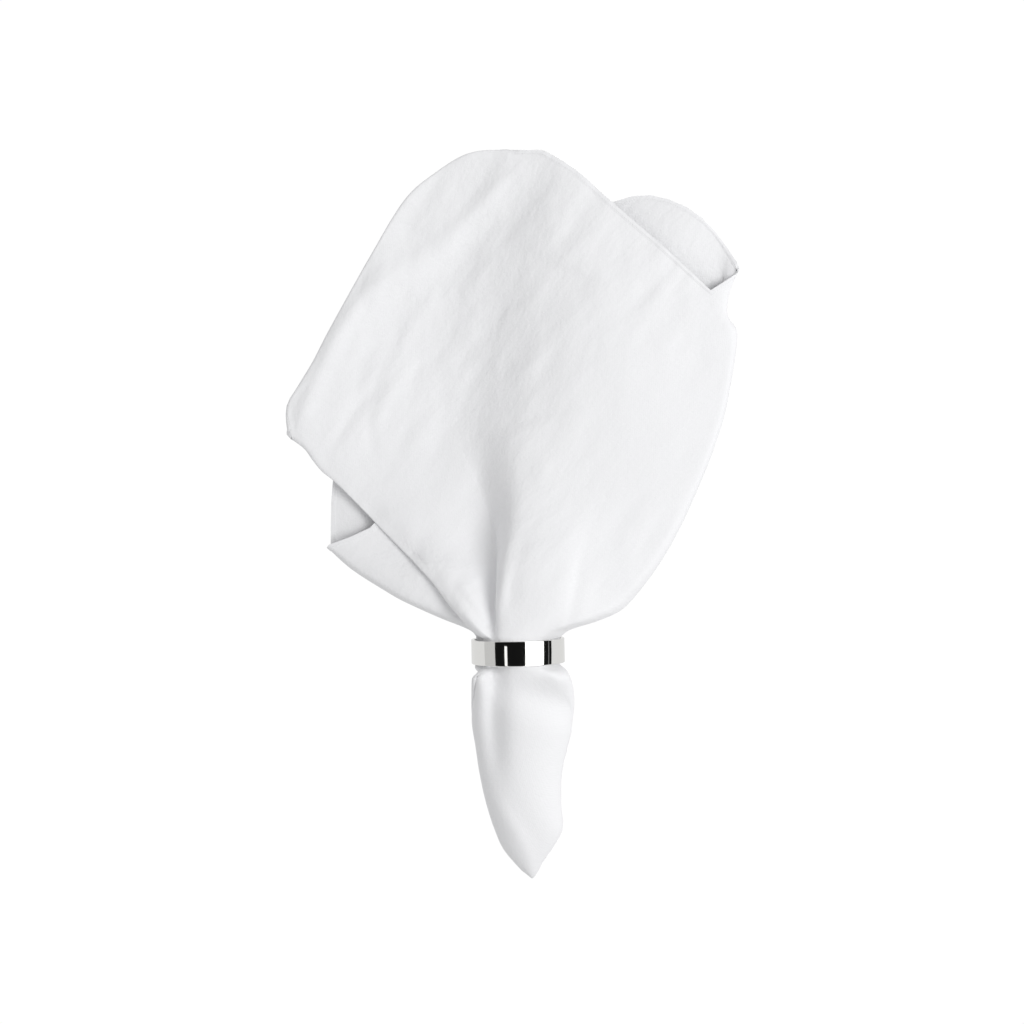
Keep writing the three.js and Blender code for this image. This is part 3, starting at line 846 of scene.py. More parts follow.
class NapkinSheet:
    """Works out the sheet's middle surface as one grid, in rows from the tip to the hem."""

    # The values of each column that are joined from the strips
    VALUES = ("across", "upper", "lower", "level", "tuck", "tuck_turn", "tuck_depth", "capped", "inward")

    def __init__(self, size: ClothSize, bundle: BundleSize, tuck: TuckSize) -> None:
        """Lays out the valley, the creases, the folds and the strips.

        Args:
            size: The cloth's sizes.
            bundle: The gathered cloth in the ring.
            tuck: The strip that is turned under.
        """
        self.size = size
        self.bundle = bundle
        self.roll = tuck
        self.valley = Crease(VALLEY)
        self.creases = [Crease(rows) for rows in FRONT_CREASES]
        self.folds = {name: FoldLine(fold, bundle, size.bundle_fade) for name, fold in FOLDS.items()}
        self.valley_curve = PlanCurve([(row.x, row.y) for row in VALLEY])
        self._join(self._strips())

    def _strips(self) -> list[Strip]:
        """Makes all strips of the closed line.

        Returns:
            The panels and the folds' strips, in order.
        """
        strips = []
        for panel in PANELS:
            strips.append(self._panel(panel))
            if panel.end in self.folds:
                line = self.folds[panel.end]
                strip = line.strip(line.fold.upper == panel.layer)
                strip.capped[:] = strip.tuck[:] = panel.end == "front_left"
                strips.append(strip)
        return strips

    def _join(self, strips: list[Strip]) -> None:
        """Keeps the strips, with their columns' values joined into whole rows.

        Args:
            strips: The strips in order.
        """
        self.strips = strips
        for name in self.VALUES:
            setattr(self, name, np.concatenate([getattr(strip, name) for strip in strips]))
        self.eta = mix(LAYER_ETA[self.lower], LAYER_ETA[self.upper], self.level)
        bundle_x, self.bundle_z = self.bundle.point(self.across, self.eta)
        start = self._plan(np.zeros((1, len(self.across))))[0]
        self.shift = np.stack([bundle_x, np.full_like(bundle_x, self.bundle.half_length)], -1) - start
        self.columns = len(self.across)
        hem = self._plan(np.ones((1, self.columns)))[0]
        self.reach = np.linalg.norm(hem - start, axis=-1)

    def _boundary(self, name: str, layer: Layer) -> tuple[Callable, float]:
        """Finds a panel's boundary line.

        Args:
            name: A fold's name, or valley.
            layer: The panel's layer.

        Returns:
            What gives the line's places, and the line's place across the bundle.
        """
        if name == "valley":
            half_top = self.bundle.point(1.0, LAYER_ETA[layer.value])[0]
            return self.valley_curve.at, VALLEY[0].x / half_top
        line = self.folds[name]
        return (lambda t: line.inner(t, layer)), line.fold.side * (line.fold.crest - line.depth)

    def _panel(self, panel: Panel) -> Strip:
        """The columns of one panel, a patch between its two boundary lines, the ring and its hem.

        In plan the patch is sides + lengthways - corners: the line across between the two boundaries, plus
        the line along from the ring to the hem, less the plain blend of the four corners.

        Args:
            panel: The panel's own values.

        Returns:
            The columns' strip.
        """
        start, start_across = self._boundary(panel.start, panel.layer)
        end, end_across = self._boundary(panel.end, panel.layer)
        open_end = panel.end == "valley"
        steps = np.arange(panel.columns + (0 if open_end else 1)) / panel.columns
        s = 1 - (1 - steps) ** -panel.grading if panel.grading < 0 else steps**panel.grading
        zero, one = np.zeros(()), np.ones(())
        hem_curve = PlanCurve([start(one), *panel.hem, end(one)])
        hem = hem_curve.at(s)
        ring = mix(start(zero), end(zero), s[:, None])
        corner = mix(start(one), end(one), s[:, None])

        def plan(t: np.ndarray) -> np.ndarray:
            """The patch's places in plan."""
            part = t[..., None]
            sides = mix(start(t), end(t), s[:, None])
            return sides + mix(ring, hem, part) - mix(ring, corner, part)

        strip = Strip(plan, mix(start_across, end_across, s), panel.layer, panel.layer, np.ones(len(s)))
        if panel.start == "front_left":
            strip.tuck = self.roll.strength(s)
            strip.tuck_turn = self.roll.turned(s)
            strip.tuck_depth = self.roll.deep * smooth(s, *self.roll.deepens) * (1 - s)
        along = hem_curve.tangent(s)
        strip.inward = np.stack([along[:, 1], -along[:, 0]], -1)
        return strip

    def _plan(self, t: np.ndarray) -> np.ndarray:
        """Puts all columns in plan, without the shift that joins them to the bundle.

        Args:
            t: Parts of the way to the hem, rows by columns.

        Returns:
            The places, with x and y in a last axis.
        """
        parts, first = [], 0
        for strip in self.strips:
            count = len(strip.across)
            parts.append(strip.plan(t[:, first : first + count]))
            first += count
        return np.concatenate(parts, axis=1)

    def relief(self, x: np.ndarray, y: np.ndarray) -> np.ndarray:
        """The valley, the creases and the fine wrinkles of the front together, in height."""
        wrinkles = sum(crumple.height(x, y) for crumple in CRUMPLES) * (1 - calm(x, y))
        return wrinkles - self.valley.depth(x, y) - sum(crease.depth(x, y) for crease in self.creases)

    def fan_top(self, x: np.ndarray, y: np.ndarray) -> np.ndarray:
        """The height of the front, edge + (ring - edge) * exp(-(reach / fall) ** power) + mounds + relief.

        Args:
            x: Places in plan, in millimetres to the right.
            y: The same places along the ring's axis.

        Returns:
            The height over the table at each place.
        """
        reach = np.hypot(x, y - self.bundle.half_length)
        fall = np.exp(-((reach / FAN_FALL) ** FAN_POWER))
        height = mix(FAN_TOP_AT_EDGE, FAN_TOP_AT_RING, fall)
        return height + sum(mound.height(x, y) for mound in MOUNDS) + self.relief(x, y)

    def shares(self, x: np.ndarray, y: np.ndarray) -> np.ndarray:
        """Each layer's part of the fan's height.

        The gaps between the layers swell and shrink in slow waves and in a few listed places, and are
        added up and scaled to 1.

        Args:
            x: Places in plan, in millimetres to the right.
            y: The same places along the ring's axis.

        Returns:
            The parts from the base to the front in a first axis.
        """
        gaps = np.diff(LAYER_SHARE)
        (turn_x, turn_y), (shift_x, shift_y) = GAP_WAVE_TURNS, GAP_WAVE_SHIFTS
        waves = [
            1 + rise * np.sin(turn_x * x + shift_x * k) * np.sin(turn_y * y + shift_y * k)
            for k, rise in enumerate(GAP_WAVES)
        ]
        for mound, swells in GAP_SWELLS:
            waves = [wave * (1 + swell * mound.height(x, y)) for wave, swell in zip(waves, swells)]
        steps = np.stack([gap * wave for gap, wave in zip(gaps, waves)])
        total = np.concatenate([np.zeros((1,) + x.shape), np.cumsum(steps, axis=0)])
        return total / total[-1]

    def heights(self, x: np.ndarray, y: np.ndarray) -> np.ndarray:
        """Height of each of the six layers at places in plan, with the layers in a first axis."""
        rest = self.size.half_thickness + sum(mound.height(x, y) for mound in BASE_LIFTS)
        return rest + self.shares(x, y) * (self.fan_top(x, y) - rest)

    def layer_height(self, x: np.ndarray, y: np.ndarray) -> np.ndarray:
        """The height of every column's layer at its own places.

        Args:
            x: Places in plan, rows by columns.
            y: The same places along the ring's axis.

        Returns:
            The heights, rows by columns.
        """
        heights = self.heights(x, y)
        columns = np.arange(self.columns)
        return mix(heights[self.lower, :, columns].T, heights[self.upper, :, columns].T, self.level)

    def lean(self, x: np.ndarray, y: np.ndarray) -> np.ndarray:
        """How far the lobe right of the valley leans to the left over it.

        Args:
            x: Places in plan, in millimetres to the right.
            y: The same places along the ring's axis.

        Returns:
            The lean at each place.
        """
        away, _ = self.valley.nearest(x, y)
        places, leans = zip(*LEAN)
        behind = np.maximum(away - LEAN_LIP, 0.0) / LEAN_WIDTH
        return np.interp(y, places, leans) * smooth(away, 0.0, LEAN_LIP) * np.exp(-(behind**2))

    def fan_points(self, t: np.ndarray) -> np.ndarray:
        """Works out the points of all columns in the fan.

        Args:
            t: Parts of the way from the ring to the hem, rows by columns.

        Returns:
            The points, with x, y and z in a last axis.
        """
        fade = smooth(t, 0.0, self.size.bundle_fade)
        place = self._plan(t) + self.shift * (1 - fade)[..., None]
        x, y = place[..., 0], place[..., 1]
        risen = smooth(t, 0.0, self.size.rise_fade)
        height = mix(self.bundle_z, self.layer_height(x, y), risen)
        height = height + (1 - risen) * self.relief(x, y) * (1 + self.eta) / 2
        x = x - self.lean(x, y) * self.level * (self.upper == Layer.FRONT.value)
        return np.stack([x, y, height], axis=-1)

    def hem_points(self) -> np.ndarray:
        """Works out the last rows: on to the hem, or rolled under in an arc with the rest of the strip.

        Returns:
            The points, rows by columns by x, y and z.
        """
        size, tuck = self.size, self.roll
        away = np.array([row.away for row in HEM_ROWS])[:, None]
        arc_part = np.array([row.arc for row in HEM_ROWS])[:, None]
        strip_part = np.array([row.strip for row in HEM_ROWS])[:, None]
        plain = self.fan_points(1 - away / self.reach)
        edge = self.fan_points(np.ones((1, self.columns)))
        arc = np.pi * tuck.below * self.fan_top(edge[..., 0], edge[..., 1]) / 2
        most = np.pi * self.tuck_turn
        turn = np.maximum(most * smooth(self.tuck, 0.0, tuck.full_turn), tuck.least_turn)
        radius = arc * self.tuck_turn / turn
        strip = tuck.lip * (2 * self.tuck_turn - 1)
        strip = strip + self.tuck_depth * smooth(self.tuck, tuck.strip_from, 1.0)
        widest = np.where(turn > np.pi / 2, radius, radius * np.sin(turn) + strip * np.cos(turn))
        angle = turn * arc_part
        inwards = widest - radius * np.sin(angle) - strip * strip_part * np.cos(turn)
        down = radius * (1 - np.cos(angle)) + strip * strip_part * np.sin(turn)
        place = edge[..., :2] + self.inward * inwards[..., None]
        height = self.layer_height(place[..., 0], place[..., 1]) - down
        rolled = np.concatenate([place, height[..., None]], axis=-1)
        rolled = np.where(self.capped[None, :, None] > 0, self._cap(arc_part), rolled)
        return mix(plain, rolled, smooth(self.tuck, 0.0, tuck.starts_by)[None, :, None])

    def _cap(self, part: np.ndarray) -> np.ndarray:
        """The round end that closes the front's left fold.

        It is axis + (side - axis) * cos(a) + ahead * cap * sin(a).

        Args:
            part: Each row's part of the quarter turn a.

        Returns:
            The points of all columns. Only those of the fold's own columns mean anything.
        """
        line, cap = self.folds["front_left"], self.roll.cap
        t = np.full((1, self.columns), 1 - cap / line.curve.length)
        side = self.fan_points(t)
        plan = line.inner(t, Layer.FRONT)
        heights = self.heights(plan[..., 0], plan[..., 1])
        middle = (heights[Layer.FRONT.value] + heights[Layer.FRONT_INNER.value]) / 2
        axis = np.concatenate([plan, middle[..., None]], axis=-1)
        ahead = np.concatenate([line.curve.tangent(t), np.zeros(t.shape + (1,))], axis=-1)
        angle = (part * np.pi / 2)[..., None]
        return axis + (side - axis) * np.cos(angle) + ahead * cap * np.sin(angle)

    def tail_points(self) -> np.ndarray:
        """Works out the tail's sections: the pleated line, drawn out to an oval that is flat underneath.

        Returns:
            The points from the tip to the ring, rows by columns by x, y and z.
        """
        size, bundle = self.size, self.bundle
        table = np.array(TAIL)
        part = 1 - np.arange(size.tail_rows) / size.tail_rows
        y = table[-1, 0] + (table[0, 0] - table[-1, 0]) * (1 - part**size.tail_spacing)
        left, right, top = (through(table[:, 0], table[:, k], y)[:, None] for k in (1, 2, 3))
        y = y[:, None]
        opened = smooth(-y, bundle.half_length, size.pleats_end)
        flattened = smooth(-y, bundle.half_length, size.on_table)
        low = mix(bundle.axis_height - bundle.radius, size.half_thickness, flattened)
        middle = mix(bundle.axis_height, mix(low, top, size.widest), flattened)
        front = np.flatnonzero((self.upper == Layer.FRONT.value) & (self.level == 1.0))
        order = (np.arange(self.columns) - front.mean()) / self.columns
        angle = np.pi / 2 - 2 * np.pi * order
        covered = (self.across < 0) * (1 - smooth(self.eta, *size.covered_eta))
        covered = covered * smooth(-y, bundle.half_length, size.squared)
        across = mix(self.across * (1 - size.covered * covered), np.cos(angle), opened)
        eta = mix(self.eta, np.sin(angle), opened)
        bend = mix(bundle.disc_bend, 0.0, smooth(-y, bundle.half_length, size.squared))
        x = (left + right) / 2 + (right - left) / 2 * across * np.sqrt(1 - bend * eta * eta)
        up = eta * np.sqrt(1 - bend * across * across)
        pressed = np.maximum(-1.0, -size.press_reach * (1 - np.clip(1 + up, 0, None) ** size.press_power))
        below = middle + (middle - low) * mix(up, pressed, flattened)
        height = np.where(up > 0, middle + (top - middle) * up, below)
        y = np.broadcast_to(y, x.shape)
        height = height + self.tail_relief(x, y) * (1 + eta) / 2
        return np.stack([x, y, height], axis=-1)

    def tail_relief(self, x: np.ndarray, y: np.ndarray) -> np.ndarray:
        """The folds of the tail in height."""
        return -sum(crease.depth(x, y) for crease in (Crease(rows) for rows in TAIL_CREASES))

    def grid(self) -> np.ndarray:
        """Puts the tail, the bundle, the fan and the hem together.

        Returns:
            The whole grid from the tip to the hem, rows by columns by x, y and z.
        """
        size, half = self.size, self.bundle.half_length
        tail = self.tail_points()
        y = np.linspace(-half, half, size.bundle_rows)[:, None]
        x, z = self.bundle.point(self.across, self.eta)
        x, y = np.broadcast_arrays(x, y)
        z = z + mix(self.tail_relief(x, y), self.relief(x, y), (y + half) / (2 * half)) * (1 + self.eta) / 2
        bundle = np.stack([x, y, z], axis=-1)
        rolled = smooth(self.tuck, 0.0, self.roll.starts_by)
        last = 1 - mix(size.last_plain, size.last_rolled, rolled) / self.reach
        t = last * (np.arange(1, size.fan_rows + 1)[:, None] / size.fan_rows) ** size.fan_spacing
        return np.concatenate([tail, bundle, self.fan_points(t), self.hem_points()])


def make_mesh(name: str, points: np.ndarray, faces: np.ndarray, origin: np.ndarray) -> bpy.types.Mesh:
    """Makes a smooth mesh in the shared frame from points in millimetres.

    Args:
        name: The mesh's name.
        points: One row of x, y and z for each point.
        faces: One row of four point numbers for each face, where the last equals the third in a triangle.
        origin: The ring's middle on the table, in metres in the shared frame.

    Returns:
        The new mesh.
    """
    mesh = bpy.data.meshes.new(name)
    lists = [list(dict.fromkeys(face)) for face in faces.tolist()]
    mesh.from_pydata((points * MM + origin).tolist(), [], lists)
    mesh.polygons.foreach_set("use_smooth", np.ones(len(mesh.polygons), bool))
    mesh.update()
    return mesh


def add_object(name: str, data: bpy.types.ID) -> bpy.types.Object:
    """Makes an object of a mesh, a light or a camera, and links it to the scene.

    Args:
        name: The object's name.
        data: What it shows.

    Returns:
        The new object.
    """
    piece = bpy.data.objects.new(name, data)
    bpy.context.scene.collection.objects.link(piece)
    return piece


@dataclass
class Napkin:
    """The linen napkin, one thin sheet on its solid's folds."""

    size: ClothSize = field(default_factory=ClothSize)
    bundle: BundleSize = field(default_factory=BundleSize)
    tuck: TuckSize = field(default_factory=TuckSize)

    def build(self, origin: np.ndarray) -> bpy.types.Object:
        """Makes the napkin's mesh with its cloth coordinates.

        Args:
            origin: The ring's middle on the table, in metres in the shared frame.

        Returns:
            The napkin.
        """
        grid = NapkinSheet(self.size, self.bundle, self.tuck).grid()
        rows, columns = grid.shape[:2]
        normals = self._normals(grid)
        away = self._from_hem(grid)
        size = self.size
        inside = smooth(away, size.hem_width - size.hem_step, size.hem_width + size.hem_step)
        half = mix(size.hem_half_thickness, size.half_thickness, inside)
        tip = np.array(TAIL_TIP)
        points = np.concatenate([
            np.vstack([(grid + normals * (side * half)[..., None]).reshape(-1, 3),
                       tip + [0, -side * size.half_thickness, 0]])
            for side in (1, -1)
        ])
        points[:, 2] = np.maximum(points[:, 2], 0.0)
        mesh = make_mesh("napkin cloth", points, self._faces(rows, columns), origin)
        smooth_faces = np.ones(len(mesh.polygons), bool)
        smooth_faces[-columns:] = False
        mesh.polygons.foreach_set("use_smooth", smooth_faces)
        self._coordinates(mesh, grid, away)
        return add_object("napkin_cloth", mesh)

    def _normals(self, grid: np.ndarray) -> np.ndarray:
        """Works out the outward directions, around x along, from the points on either side.

        Args:
            grid: The middle surface, rows by columns by x, y and z.

        Returns:
            A direction one unit long for every point.
        """
        around = np.roll(grid, -1, axis=1) - np.roll(grid, 1, axis=1)
        tip = np.broadcast_to(np.array(TAIL_TIP), grid[:1].shape)
        before = np.concatenate([tip, grid[:-1]])
        after = np.concatenate([grid[1:], grid[-1:]])
        normal = np.cross(around, after - before)
        return normal / np.maximum(np.linalg.norm(normal, axis=-1, keepdims=True), LEAST_LENGTH)

    def _from_hem(self, grid: np.ndarray) -> np.ndarray:
        """Each point's distance from the hem, measured along its own column."""
        steps = np.linalg.norm(np.diff(grid, axis=0), axis=-1)
        return np.concatenate([np.cumsum(steps[::-1], axis=0)[::-1], np.zeros((1, grid.shape[1]))])

    def _faces(self, rows: int, columns: int) -> np.ndarray:
        """Lists the faces of both sides of the sheet, its tip and its hem.

        Args:
            rows: The grid's rows.
            columns: The grid's columns, which close into a ring.

        Returns:
            One row of four point numbers for each face, with the rim's faces last.
        """
        sheet = rows * columns + 1
        around = np.arange(columns)
        after = (around + 1) % columns
        i, j = (np.arange(rows - 1) * columns)[:, None], around[None, :]
        k = after[None, :]
        outer = np.stack([i + j, i + k, i + columns + k, i + columns + j], -1).reshape(-1, 4)
        pole = np.full(columns, sheet - 1)
        cap = np.stack([pole, after, around, around], -1)
        last = (rows - 1) * columns
        rim = np.stack([last + around, last + after, sheet + last + after, sheet + last + around], -1)
        inner = sheet + outer[:, ::-1]
        inner_cap = sheet + np.stack([pole, around, after, after], -1)
        return np.concatenate([outer, cap, inner, inner_cap, rim])

    def _coordinates(self, mesh: bpy.types.Mesh, grid: np.ndarray, away: np.ndarray) -> None:
        """Writes the cloth's own coordinates, and what the hem's stitches and the crumples need.

        The UV map holds the places in metres, turned to the weave and drawn on a little by their height. The
        attribute holds each point's place along the hem and distance from it, in metres, and how crumpled
        the cloth is there, 0 to 1.

        Args:
            mesh: The napkin's mesh.
            grid: The middle surface, rows by columns by x, y and z.
            away: Each point's distance from the hem.
        """
        turn = np.radians(self.size.weave_turn)
        climb_u, climb_v = self.size.weave_climb
        x, y, z = (grid[..., k] for k in range(3))
        u = x * np.cos(turn) + y * np.sin(turn) + climb_u * z
        v = -x * np.sin(turn) + y * np.cos(turn) + climb_v * z
        steps = np.linalg.norm(np.roll(grid[-1], -1, axis=0) - grid[-1], axis=-1)
        along = np.concatenate([[0.0], np.cumsum(steps)[:-1]])
        along = np.broadcast_to(along, away.shape)
        cloth = np.stack([u, v], -1).reshape(-1, 2) * MM
        hem = np.stack([along, away, (1 - calm(x, y)) / MM], -1).reshape(-1, 3) * MM
        cloth = np.concatenate([np.vstack([cloth, cloth[:1]])] * 2)
        hem = np.concatenate([np.vstack([hem, hem[:1]])] * 2)
        loops = np.zeros(len(mesh.loops), int)
        mesh.loops.foreach_get("vertex_index", loops)
        layer = mesh.uv_layers.new(name="cloth")
        layer.uv.foreach_set("vector", cloth[loops].ravel())
        attribute = mesh.attributes.new("hem", "FLOAT_VECTOR", "POINT")
        attribute.data.foreach_set("vector", hem.ravel())

    def dress(self, napkin: bpy.types.Object, linen: bpy.types.Material) -> None:
        """Args:
            napkin: The napkin.
            linen: Its finish.
        """
        napkin.data.materials.append(linen)
        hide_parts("napkin")
        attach(napkin, "root")


@dataclass
class PolishedRing:
    """The plain metal band, with soft edges."""

    size: RingSize = field(default_factory=RingSize)

    def build(self, origin: np.ndarray) -> bpy.types.Object:
        """Makes the band, its section turned round the axis.

        Args:
            origin: The ring's middle on the table, in metres in the shared frame.

        Returns:
            The ring.
        """
        size = self.size
        section = self._section()
        angle = 2 * np.pi * np.arange(size.segments) / size.segments
        radius, along = section[:, 0][:, None], section[:, 1][:, None]
        x = radius * np.sin(angle)
        y = np.broadcast_to(along, x.shape)
        z = size.radius - radius * np.cos(angle)
        turn = np.radians(size.turn)
        points = np.stack([x * np.cos(turn) - y * np.sin(turn), x * np.sin(turn) + y * np.cos(turn), z], -1)
        count = len(section)
        i, j = np.meshgrid(np.arange(count), np.arange(size.segments), indexing="ij")
        nxt_i, nxt_j = (i + 1) % count, (j + 1) % size.segments
        corners = ((i, j), (nxt_i, j), (nxt_i, nxt_j), (i, nxt_j))
        faces = np.stack([a * size.segments + b for a, b in corners], -1).reshape(-1, 4)
        mesh = make_mesh("ring band", points.reshape(-1, 3), faces, origin)
        return add_object("ring_band", mesh)

    def _section(self) -> np.ndarray:
        """Works out the band's section, with a quarter circle at each corner.

        Returns:
            One row of radius and place along the axis for each point.
        """
        size = self.size
        half, inner = size.width / 2, size.radius - size.wall
        quarter = np.linspace(0, np.pi / 2, size.edge_steps)
        corners = (
            (size.radius - size.edge, half - size.edge, 0.0),
            (inner + size.edge, half - size.edge, 0.5),
            (inner + size.edge, -half + size.edge, 1.0),
            (size.radius - size.edge, -half + size.edge, 1.5),
        )
        parts = [
            np.stack([r + size.edge * np.cos(np.pi * start + quarter),
                      y + size.edge * np.sin(np.pi * start + quarter)], -1)
            for r, y, start in corners
        ]
        return np.concatenate(parts)

    def dress(self, ring: bpy.types.Object, metal: bpy.types.Material) -> None:
        """Gives the ring its finish and its place in the frame.

        Args:
            ring: The ring.
            metal: Its finish.
        """
        ring.data.materials.append(metal)
        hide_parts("ring")
        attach(ring, "root")


class Nodes:
    """Adds nodes to a tree and joins them, with short calls."""

    def __init__(self, tree: bpy.types.NodeTree) -> None:
        """Keeps the tree."""
        self.tree = tree

    def add(self, kind: str, inputs: dict[str, Any] | None = None, **settings: Any) -> bpy.types.Node:
        """Adds a node.

        Args:
            kind: The node's type.
            inputs: A plain value or a socket for each input that is set, by its name.
            **settings: The node's own properties.

        Returns:
            The new node.
        """
        node = self.tree.nodes.new(kind)
        for name, value in settings.items():
            setattr(node, name, value)
        for key, value in (inputs or {}).items():
            self.join(value, node.inputs[key])
        return node

    def join(self, value: Any, socket: bpy.types.NodeSocket) -> None:
        """Links a socket, or sets a plain value.

        Args:
            value: The socket that is linked, or the value.
            socket: The input that gets it.
        """
        if isinstance(value, bpy.types.NodeSocket):
            self.tree.links.new(value, socket)
        else:
            socket.default_value = value

    def maths(self, operation: str, *values: Any, clamp: bool = False) -> bpy.types.NodeSocket:
        """Adds a Math node.

        Args:
            operation: What it does.
            *values: Plain values or sockets for its inputs, in order.
            clamp: Whether its result is kept within 0 and 1.

        Returns:
            Its result.
        """
        node = self.tree.nodes.new("ShaderNodeMath")
        node.operation = operation
        node.use_clamp = clamp
        for value, socket in zip(values, node.inputs):
            self.join(value, socket)
        return node.outputs[0]

    def noise(
        self, place: bpy.types.NodeSocket, scale: tuple[float, float, float], detail: float,
        roughness: float = 0.5, turned: float = 0.0
    ) -> bpy.types.NodeSocket:
        """Adds stretched noise.

        Args:
            place: The coordinates that it follows.
            scale: How many of its steps go into one unit, along each axis.
            detail: How many finer octaves it has.
            roughness: How strong the finer octaves are.
            turned: How far it is turned about the third axis, in radians.

        Returns:
            The noise, from 0 to 1.
        """
        mapped = self.add("ShaderNodeMapping", {
            "Vector": place, "Rotation": (0.0, 0.0, turned), "Scale": scale})
        noise = self.add("ShaderNodeTexNoise", {
            "Vector": mapped.outputs["Vector"], "Scale": 1.0, "Detail": detail, "Roughness": roughness})
        return noise.outputs["Fac"]


def new_material(name: str) -> tuple[bpy.types.Material, Nodes]:
    """Makes a material without nodes.

    Args:
        name: Its name.

    Returns:
        The material, and a Nodes helper for it.
    """
    material = bpy.data.materials.new(name)
    material.use_nodes = True
    material.node_tree.nodes.clear()
    return material, Nodes(material.node_tree)


def new_group(
    name: str, inputs: dict[str, str], outputs: dict[str, str]
) -> tuple[bpy.types.NodeTree, Nodes, bpy.types.Node, bpy.types.Node]:
    """Makes a shader node group with named sockets and nothing between them.

    Args:
        name: The group's name.
        inputs: The kind of each input socket, by its name.
        outputs: The kind of each output socket, by its name.

    Returns:
        The group, a Nodes helper for it, its input node and its output node.
    """
    group = bpy.data.node_groups.new(name, "ShaderNodeTree")
    for label, kind in inputs.items():
        group.interface.new_socket(name=label, in_out="INPUT", socket_type=kind)
    for label, kind in outputs.items():
        group.interface.new_socket(name=label, in_out="OUTPUT", socket_type=kind)
    nodes = Nodes(group)
    return group, nodes, nodes.add("NodeGroupInput"), nodes.add("NodeGroupOutput")


